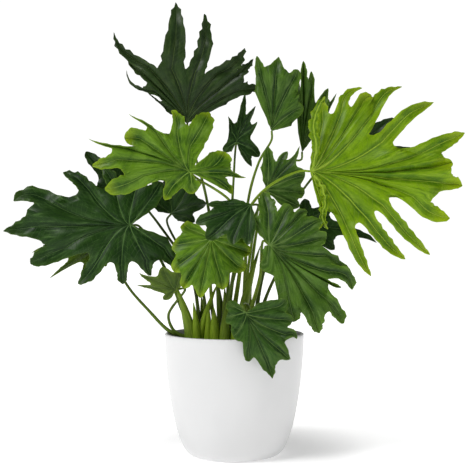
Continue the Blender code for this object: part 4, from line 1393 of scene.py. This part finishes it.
BLADES = [
    Blade(
        "top", (-70, 30, 308), (94, 5), (90, 82),
        outline=[
            (56, 36), Lobe(48, 76, 1.4), (44, 50), Lobe(45, 124, 4, 8, 5, -14, 0.8), (40.5, 84),
            Lobe(38.5, 137, 5, 14, 0, -8, 0.8), (35.5, 104), Lobe(35.5, 182, 8, 20, 4, -12, 0.7),
            (24.5, 92), Lobe(1.5, 183, 17, 40, -9, 2, 0.6), (-2.5, 80),
            Lobe(-13, 167, 12, 30, -5, 2, 0.5), (-24, 77), Lobe(-41.5, 146, 9, 22, -6, 4, 0.4),
            (-43, 98), Lobe(-49.5, 143, 7, 14, 0, 3, 0.7), (-55, 107), Lobe(-68, 122, 9, 8, 0, 0, 0.5),
            (-68, 64),
        ],
        arch=0.5, crown="c", slot=2, route=[(-26, 12, 90), (-42, 24, 200)], tone=Tone.DUSKY,
        wave=2.6, fringe=0.6,
    ),
    Blade(
        "upper_left", (-61, -50, 227), (150, 10), (95, 78),
        outline=[
            (163, 22), Lobe(132, 29, 9, 0, 0, 0, 0.2), (93, 25), Lobe(77, 53, 9, 4, 0, 0, 0.5),
            (50, 38), Lobe(41, 121, 14, 16, 4, 0, 0.2), (28, 96), Lobe(26, 136, 9, 30, 4, 4, 0.5),
            (14, 112), Lobe(11.5, 147, 3, 34, 0, -6, 0.9), (4.5, 84),
            Lobe(2.5, 102, 12, 26, 0, 0, 0.1), (-12, 84), Lobe(-15, 118, 3.5, 20, 0, -6, 0.9),
            (-31.5, 61), Lobe(-45, 93, 8, 14, -3, 3, 0.4), (-56, 67),
            Lobe(-80, 100, 17, 8, -3, 0, 0.3), (-96, 12), Lobe(-118, 60, 17, 0, 0, 0, 0.1), (-142, 58),
            Lobe(-153, 83, 3.5, 0, 0, 3, 0.8), (-158, 50), Lobe(-177, 68, 8, 0, 0, -3, 0.6),
            (-176, 25),
        ],
        tone=Tone.FRESH, arch=1.0, crown="c", slot=5,
        route=[(-2, -24, 80), (12, -36, 150), (-6, -42, 188)], wave=1.9,
    ),
    Blade(
        "left", (-147, -20, 155), (182, 5), (90, 80),
        outline=[
            (159, 55), Lobe(138, 89, 10, 0, -3, 0, 0.3), (129, 66), Lobe(110, 78, 8, 6, -3, 0, 0.6),
            (90, 52), Lobe(80.5, 85, 8, 12, 0, 0, 0.25), (61, 60), Lobe(46, 112, 12, 20, 0, -3, 0.45),
            (31.5, 72), Lobe(18.5, 153, 14, 44, -3, -2, 0.2), (9.5, 127),
            Lobe(0, 182, 17, 70, 0, 0, 0.85), (-10.3, 148), Lobe(-14.5, 173, 15, 52, -5, 9, 0.35),
            (-30.5, 90), Lobe(-41.5, 131, 11, 24, 0, 5, 0.25), (-57, 67),
            Lobe(-66, 99, 10, 14, 0, 0, 0.4), (-84, 60), Lobe(-100, 84, 10, 8, 0, 0, 0.4), (-114, 62),
            Lobe(-125, 79, 12, 0, 0, 0, 0.2), (-145, 46),
        ],
        arch=0.8, crown="b", slot=2, root_radius=4.0, route=[(-72, -12, 30), (-92, -8, 78)], wave=1.9,
    ),
    Blade(
        "right", (106, -40, 230), (-6, 5), (90, 82),
        outline=[
            (91, 64), Lobe(85, 108, 8, 6, 0, -3, 0.4), (75, 90), Lobe(65, 149, 8, 12, 4, -9, 0.55),
            (64, 112), Lobe(58.5, 148, 10, 18, 2, 0, 0.0), (56, 143),
            Lobe(51, 193, 9, 26, 3, -11, 0.5), (38.5, 97), Lobe(38, 215, 11, 40, 4, -8, 0.45),
            (20.5, 124), Lobe(21.5, 230, 12, 84, -2, -3, 0.5), (12, 186),
            Lobe(9.5, 198, 5, 96, 0, 0, 0.2), (6, 194), Lobe(0.5, 213, 10, 104, 0, -4, 0.4), (-5, 178),
            Lobe(-13, 204, 13, 92, -3, 7, 0.35), (-13.5, 116), Lobe(-29, 204, 8.5, 46, -1, 7, 0.35),
            (-27, 106), Lobe(-37, 181, 9.5, 24, 0, 6, 0.4), (-42, 99),
            Lobe(-54, 170, 9, 12, 0, 6, 0.4), (-61, 62), Lobe(-77, 84, 3.5, 4, 0, -6, 0.6), (-71, 46),
        ],
        tone=Tone.BRIGHT, arch=0.4, cross=1.8, crown="c", slot=0, root_radius=3.6,
        route=[(8, -8, 90), (12, -20, 158), (42, -48, 203)], arrive=14.0, pleat=0.05, wave=1.6,
    ),
    Blade(
        "front_right", (47, -80, 126), (-45, 10), (100, 75),
        outline=[
            (178, 30), Lobe(166, 46, 9, 0, 0, 0, 0.3), (154, 40), Lobe(141, 79, 12, 0, 0, 0, 0.3),
            (122, 48), Lobe(106, 64, 10, 4, 0, 0, 0.3), (98, 58), Lobe(88.5, 74, 7, 6, 0, -2, 0.5),
            (85.5, 65), Lobe(73, 82, 9, 10, 0, 0, 0.4), (62, 71), Lobe(52.5, 79, 9, 14, 0, 0, 0.1),
            (45.5, 71), Lobe(27.5, 118, 6.5, 20, -3, 0, 0.5), (28, 87),
            Lobe(18.5, 129, 9, 28, 4, -7, 0.15), (14, 91), Lobe(15.5, 113, 2.4, 32, 0, 2, 0.3),
            (11.5, 95), Lobe(-1.5, 144, 9, 40, 0, -3, 0.15), (-5.5, 119),
            Lobe(-14.5, 137, 12, 36, 0, 3, 0.7), (-19, 103), Lobe(-26, 109, 14, 26, 0, 0, 0.1),
            (-36, 44), Lobe(-70, 30, 7, 0, 0, 0, 0.3), (-108, 14),
        ],
        arch=1.5, crown="d", slot=5, root_radius=4.2, route=[(26, -34, 44), (36, -52, 84)],
        tone=Tone.MID, pleat=0.07, wave=2.4,
    ),
    Blade(
        "over_rim", (15, 0, 37), (-68, 5), (90, 80),
        outline=[
            (104, 20), Lobe(86, 57, 10, 2, -2, 0, 0.3), (68, 53), Lobe(57, 63, 8, 8, 0, 0, 0.3),
            (49, 58), Lobe(41, 76, 5, 14, 3, -3, 0.5), (30.5, 64), Lobe(22, 84, 9, 22, 0, 2, 0.85),
            (12, 76), Lobe(0.5, 93, 12, 34, 0, 0, 0.9), (-10.5, 60), Lobe(-18, 64, 7, 24, 0, 0, 0.4),
            (-28, 39), Lobe(-50, 35, 8, 8, 0, 0, 0.2), (-72, 25), Lobe(-100, 26, 8, 0, 0, 0, 0.1),
            (-122, 24), Lobe(-142, 27, 8, 0, 0, 0, 0.3), (-162, 15),
        ],
        arch=1.0, over_rim=True, crown="d", slot=6, root_radius=2.6, route=[(20, -50, 40)],
        tone=Tone.SHADY, wave=2.2,
    ),
    Blade(
        "upper_middle", (55, 20, 295), (86, 5), (110, 70),
        outline=[
            (27, 64), Lobe(15.5, 114, 9, 20, 0, 0, 0.7), (7, 95), Lobe(-1, 110, 8, 30, 0, 0, 0.8),
            (-8.5, 92), Lobe(-19, 98, 9, 20, 0, 0, 0.2), (-33, 66), Lobe(-50, 58, 9, 8, 0, 0, 0.2),
            (-72, 30),
        ],
        arch=0.5, crown="d", slot=2, route=[(16, 8, 90), (20, 4, 190), (36, 10, 248)], tone=Tone.MID,
    ),
    Blade(
        "narrow", (102, 45, 267), (88, 5), (90, 75),
        outline=[
            (14, 30), Lobe(6, 113, 5, 20, 0, 0, 0.6), (3.2, 105), Lobe(1.5, 136, 5, 40, 0, 0, 0.6),
            (-1, 112), Lobe(-4, 121, 5, 30, 0, 0, 0.5), (-13, 76), Lobe(-20, 103, 6, 16, 0, 0, 0.7),
            (-24.5, 88), Lobe(-28, 102, 3, 10, 0, 0, 0.8), (-36, 56),
        ],
        crown="d", slot=1, root_radius=2.6, route=[(26, 16, 100), (48, 30, 204), (82, 40, 252)],
        tone=Tone.MID,
    ),
    Blade(
        "behind_right", (153, 60, 257), (22, 0), (90, 80),
        outline=[
            (120, 20), Lobe(100, 50, 10), (66, 36), Lobe(48, 70, 9, 8), (30, 50),
            Lobe(14, 112, 11, 20, 0, 0, 0.4), (0, 70), Lobe(-14, 127, 5, 12, 3, 0, 0.8), (-26, 58),
            Lobe(-50, 66, 9, 6), (-70, 36), Lobe(-95, 50, 10), (-120, 20),
        ],
        crown="d", slot=0, root_radius=2.8, route=[(44, 24, 90), (84, 44, 180), (124, 54, 236)],
        tone=Tone.SHADED_BACK,
    ),
    Blade(
        "small_back", (3, 50, 283), (79, 0), (90, 70),
        outline=[
            (165, 17), Lobe(138, 24, 6, 0, 0, 0, 0.2), (95, 14), Lobe(29, 42, 4, 6, -3, 0, 0.8),
            (11, 30), Lobe(1, 76, 5, 16, 0, 0, 0.7), (-9, 44), Lobe(-17, 62, 4, 10, 0, 0, 0.8),
            (-24, 37), Lobe(-35, 44, 4, 6, 0, 0, 0.8), (-64, 22), Lobe(-112, 41, 8, 0, 0, 0, 0.3),
            (-127, 34), Lobe(-137, 44, 5, 0, 0, 0, 0.7), (-150, 20),
        ],
        crown="c", slot=1, root_radius=2.6, route=[(-8, 16, 100), (-2, 40, 210)], tone=Tone.DARK,
    ),
    Blade(
        "bright_middle", (45, -22, 204), (52, 8), (60, 70),
        outline=[
            (52, 34), Lobe(37, 63, 8, 6, 0, 0, 0.4), (17, 44), Lobe(9, 63, 6, 10, 0, 0, 0.5), (5, 52),
            Lobe(1, 79, 4, 14, 0, 0, 0.9), (-14, 56), Lobe(-33, 58, 10, 8, 0, 0, 0.2), (-46, 50),
            Lobe(-57, 55, 8, 4, 0, 0, 0.3), (-66, 46), Lobe(-78, 53, 8, 0, 0, 0, 0.3), (-96, 30),
        ],
        tone=Tone.MID, crown="d", slot=4, root_radius=2.8, route=[(18, -16, 80), (30, -14, 160)],
        wave=1.6,
    ),
    Blade(
        "dark_middle", (24, -62, 182), (200, 15), (110, 65),
        outline=[
            (76, 34), Lobe(60, 62, 8, 2), (50, 56), Lobe(43, 68, 8, 6), (30, 60),
            Lobe(17, 82, 10, 12, 0, 0, 0.3), (5, 72), Lobe(-4, 82, 8, 18, 0, 0, 0.4), (-12, 56),
            Lobe(-22, 62, 6, 8), (-42, 28),
        ],
        arch=2.0, crown="c", slot=4, root_radius=2.8, route=[(-2, -30, 76), (16, -38, 140)],
        tone=Tone.DARK,
    ),
    Blade(
        "bright_fan", (-32, -45, 136), (262, 10), (90, 75),
        outline=[
            (118, 32), Lobe(98, 54, 9, 0, 0, 0, 0.3), (88, 46), Lobe(77, 58, 9, 2, 0, 0, 0.3),
            (67, 52), Lobe(56, 64, 9, 4, 0, 0, 0.4), (36, 56), Lobe(20, 74, 9, 8, 0, 0, 0.5),
            (9.5, 65), Lobe(-2.5, 85, 9, 14, 0, 0, 0.7), (-14, 71), Lobe(-22, 80, 8, 10, 0, 0, 0.3),
            (-30, 66), Lobe(-40, 70, 8, 6, 0, 0, 0.3), (-56, 54), Lobe(-76, 54, 9, 2, 0, 0, 0.2),
            (-91, 42), Lobe(-110, 46, 9, 0, 0, 0, 0.2), (-130, 26),
        ],
        tone=Tone.FRESH, arch=1.5, crown="c", slot=3, root_radius=3.0,
        route=[(-32, -14, 40), (-34, -22, 90)], pleat=0.08, wave=1.8,
    ),
    Blade(
        "back_left", (-92, 0, 172), (40, 0), (100, 70),
        outline=[
            (130, 20), Lobe(100, 44, 8), (84, 34), Lobe(66, 54, 9, 6), (44, 40),
            Lobe(8, 66, 10, 12, 0, 0, 0.4), (-9, 46), Lobe(-25, 54, 8, 6), (-40, 34), Lobe(-60, 38, 7),
            (-86, 16),
        ],
        crown="b", slot=0, root_radius=2.4, route=[(-46, 2, 60), (-76, 6, 116)], tone=Tone.SHADED_BACK,
    ),
    Blade(
        "olive_low", (-82, -30, 63), (160, 0), (250, 60),
        outline=[
            (80, 14), Lobe(60, 26, 5), (44, 18), Lobe(17, 57, 4.5, 8, 0, 3, 0.8), (6, 37),
            Lobe(-6.5, 57, 4.5, 14, 0, -3, 0.8), (-21, 34), Lobe(-45, 40, 7, 6), (-66, 29),
            Lobe(-95, 37, 7, 0, 0, 0, 0.3), (-120, 14),
        ],
        crown="a", slot=1, root_radius=2.2, route=[(-88, -10, 6), (-94, -12, 27)], tone=Tone.OLIVE,
    ),
    Blade(
        "far_left", (-156, 20, 211), (140, 0), (90, 75),
        outline=[
            (120, 20), Lobe(100, 44, 9), (72, 34), Lobe(50, 60, 9, 6), (32, 46),
            Lobe(-1, 84, 10, 14, 0, 0, 0.2), (-22, 48), Lobe(-38, 64, 9, 6), (-56, 42),
            Lobe(-80, 50, 9), (-110, 20),
        ],
        crown="b", slot=1, root_radius=2.6, route=[(-62, 14, 80), (-110, 18, 156)], tone=Tone.SHADED_BACK,
    ),
    Blade(
        "low_left", (-192, 30, 130), (195, 0), (90, 70),
        outline=[
            (110, 14), Lobe(80, 36, 5), (60, 28), Lobe(40, 58, 6, 4, 0, -3, 0.6), (28, 44),
            Lobe(17.5, 97, 5, 8, 3, 4, 0.9), (6, 58), Lobe(-8, 110, 5, 12, -3, 6, 0.7), (-21, 56),
            Lobe(-35, 60, 6, 6), (-60, 32), Lobe(-90, 38, 7), (-120, 14),
        ],
        crown="a", slot=0, root_radius=2.4, route=[(-93, 0, 2), (-122, 2, 30), (-160, 12, 74)],
        tone=Tone.OLIVE,
    ),
    Blade(
        "behind_front", (99, 45, 162), (-12, 0), (90, 70),
        outline=[
            (110, 16), Lobe(90, 40, 9), (64, 30), Lobe(42, 60, 9, 6), (22, 46),
            Lobe(-3, 119, 10, 20, 3, 0, 0.75), (-15, 58), Lobe(-28, 66, 8, 8), (-44, 42),
            Lobe(-70, 48, 9), (-100, 16),
        ],
        crown="d", slot=7, root_radius=2.8, route=[(46, 10, 50), (74, 30, 112)], tone=Tone.SHADED_BACK,
    ),
]


# -------------------------------------------------------------------------- studio


@dataclass
class Studio:
    """A plain pale floor, soft lights and the camera.

    The floor's glow grows between two distances from the pot, in metres, and the
    key's way is the direction in which it shines.
    """

    floor_reach: float = 30.0
    glow_starts: float = 0.085
    glow_ends: float = 0.24
    near_glow: Colour = (0.33, 0.33, 0.33)
    far_glow: Colour = (0.74, 0.74, 0.74)
    key_power: float = 1.88
    key_spread: float = 24.0
    key_way: tuple[float, float, float] = (0.66, 0.50, -0.90)
    surround: float = 0.13
    backdrop: float = 1.05
    lens: float = 64.03
    camera_place: tuple[float, float, float] = (0.001, -1.21, 0.283)
    camera_tip: float = 1.36

    def floor(self) -> None:
        """Makes the floor: a wide round disc that glows more beyond the foot's own shadow."""
        rings, steps = np.array([0.0, 0.5, 1.5, self.floor_reach])[:, None], 64
        points = rings_round(0.0, 0.0, rings, full_turn(steps), 0.0)
        surface = Surface(points.reshape(-1, 3), grid_quads(len(rings), steps, True)).welded()
        mesh = bpy.data.meshes.new("studio_floor")
        mesh.from_pydata(surface.points.tolist(), [], surface.face_lists())
        graph = Graph("studio_white")
        place = graph.place()
        cloud = graph.noise(place, 1.5)
        far = graph.node("ShaderNodeVectorMath", {"operation": "LENGTH"}, {0: place}, "Value")
        far = graph.band(far, self.glow_starts, self.glow_ends)
        mesh.materials.append(graph.finish(
            Base_Color=graph.mix(cloud, (0.90, 0.90, 0.90), (0.92, 0.92, 0.92)), Roughness=0.95,
            Specular_IOR_Level=0.0, Emission_Color=graph.mix(far, self.near_glow, self.far_glow),
            Emission_Strength=1.0,
        ))
        made = bpy.data.objects.new("studio_floor", mesh)
        bpy.context.scene.collection.objects.link(made)

    def lamp(self, name: str, place: tuple, aim: tuple, size: float, power: float) -> None:
        """Adds a square soft light.

        Args:
            name: its name.
            place: where it stands, in metres.
            aim: the point that it faces.
            size: its side.
            power: its power in watts.
        """
        light = bpy.data.lights.new(name, "AREA")
        light.size, light.energy = size, power
        made = bpy.data.objects.new(name, light)
        made.location = place
        made.rotation_euler = (Vector(aim) - Vector(place)).to_track_quat("-Z", "Y").to_euler()
        bpy.context.scene.collection.objects.link(made)

    def sun(self) -> None:
        """Adds the key: a broad light from the upper left, whose shadow falls to the right."""
        light = bpy.data.lights.new("key", "SUN")
        light.energy, light.angle = self.key_power, math.radians(self.key_spread)
        made = bpy.data.objects.new("key", light)
        made.rotation_euler = Vector(self.key_way).to_track_quat("-Z", "Y").to_euler()
        bpy.context.scene.collection.objects.link(made)

    def world(self) -> None:
        """An even pale surround, which shows pure white behind the plant."""
        world = bpy.data.worlds.new("studio")
        world.use_nodes = True
        tree = world.node_tree
        soft, seen = tree.nodes["Background"], tree.nodes.new("ShaderNodeBackground")
        for node, strength in ((soft, self.surround), (seen, self.backdrop)):
            node.inputs["Color"].default_value = (1.0, 1.0, 1.0, 1.0)
            node.inputs["Strength"].default_value = strength
        path, blend = tree.nodes.new("ShaderNodeLightPath"), tree.nodes.new("ShaderNodeMixShader")
        tree.links.new(path.outputs["Is Camera Ray"], blend.inputs[0])
        tree.links.new(soft.outputs[0], blend.inputs[1])
        tree.links.new(seen.outputs[0], blend.inputs[2])
        tree.links.new(blend.outputs[0], tree.nodes["World Output"].inputs[0])
        bpy.context.scene.world = world

    def camera(self) -> None:
        """Stands the camera in front, a little above the pot's rim, tipped slightly up."""
        lens = bpy.data.cameras.new("camera")
        lens.sensor_width, lens.lens = 36.0, self.lens
        made = bpy.data.objects.new("camera", lens)
        made.location = self.camera_place
        made.rotation_euler = (math.radians(90.0 + self.camera_tip), 0.0, 0.0)
        bpy.context.scene.collection.objects.link(made)
        bpy.context.scene.camera = made

    def build(self) -> None:
        """Sets the studio up."""
        self.floor()
        self.world()
        self.sun()
        self.lamp("side", (1.5, -0.9, 0.9), (0.0, 0.0, 0.3), 1.2, 3.5)
        self.camera()
        bpy.context.scene.view_settings.view_transform = "Standard"


def main() -> None:
    """Builds everything in order."""
    logging.basicConfig(level=logging.INFO, format="%(name)s: %(message)s")
    pots = Pots.from_frame()
    pots.build()
    bed = Bed(pots)
    bed.build()
    for blade in BLADES:
        blade.build(pots)
        Stalk(blade, bed).build()
    for sheath in SHEATHS:
        sheath.build(bed)
    for curl in CURLS:
        curl.build(pots)
    Studio().build()


if __name__ == "__main__":
    main()
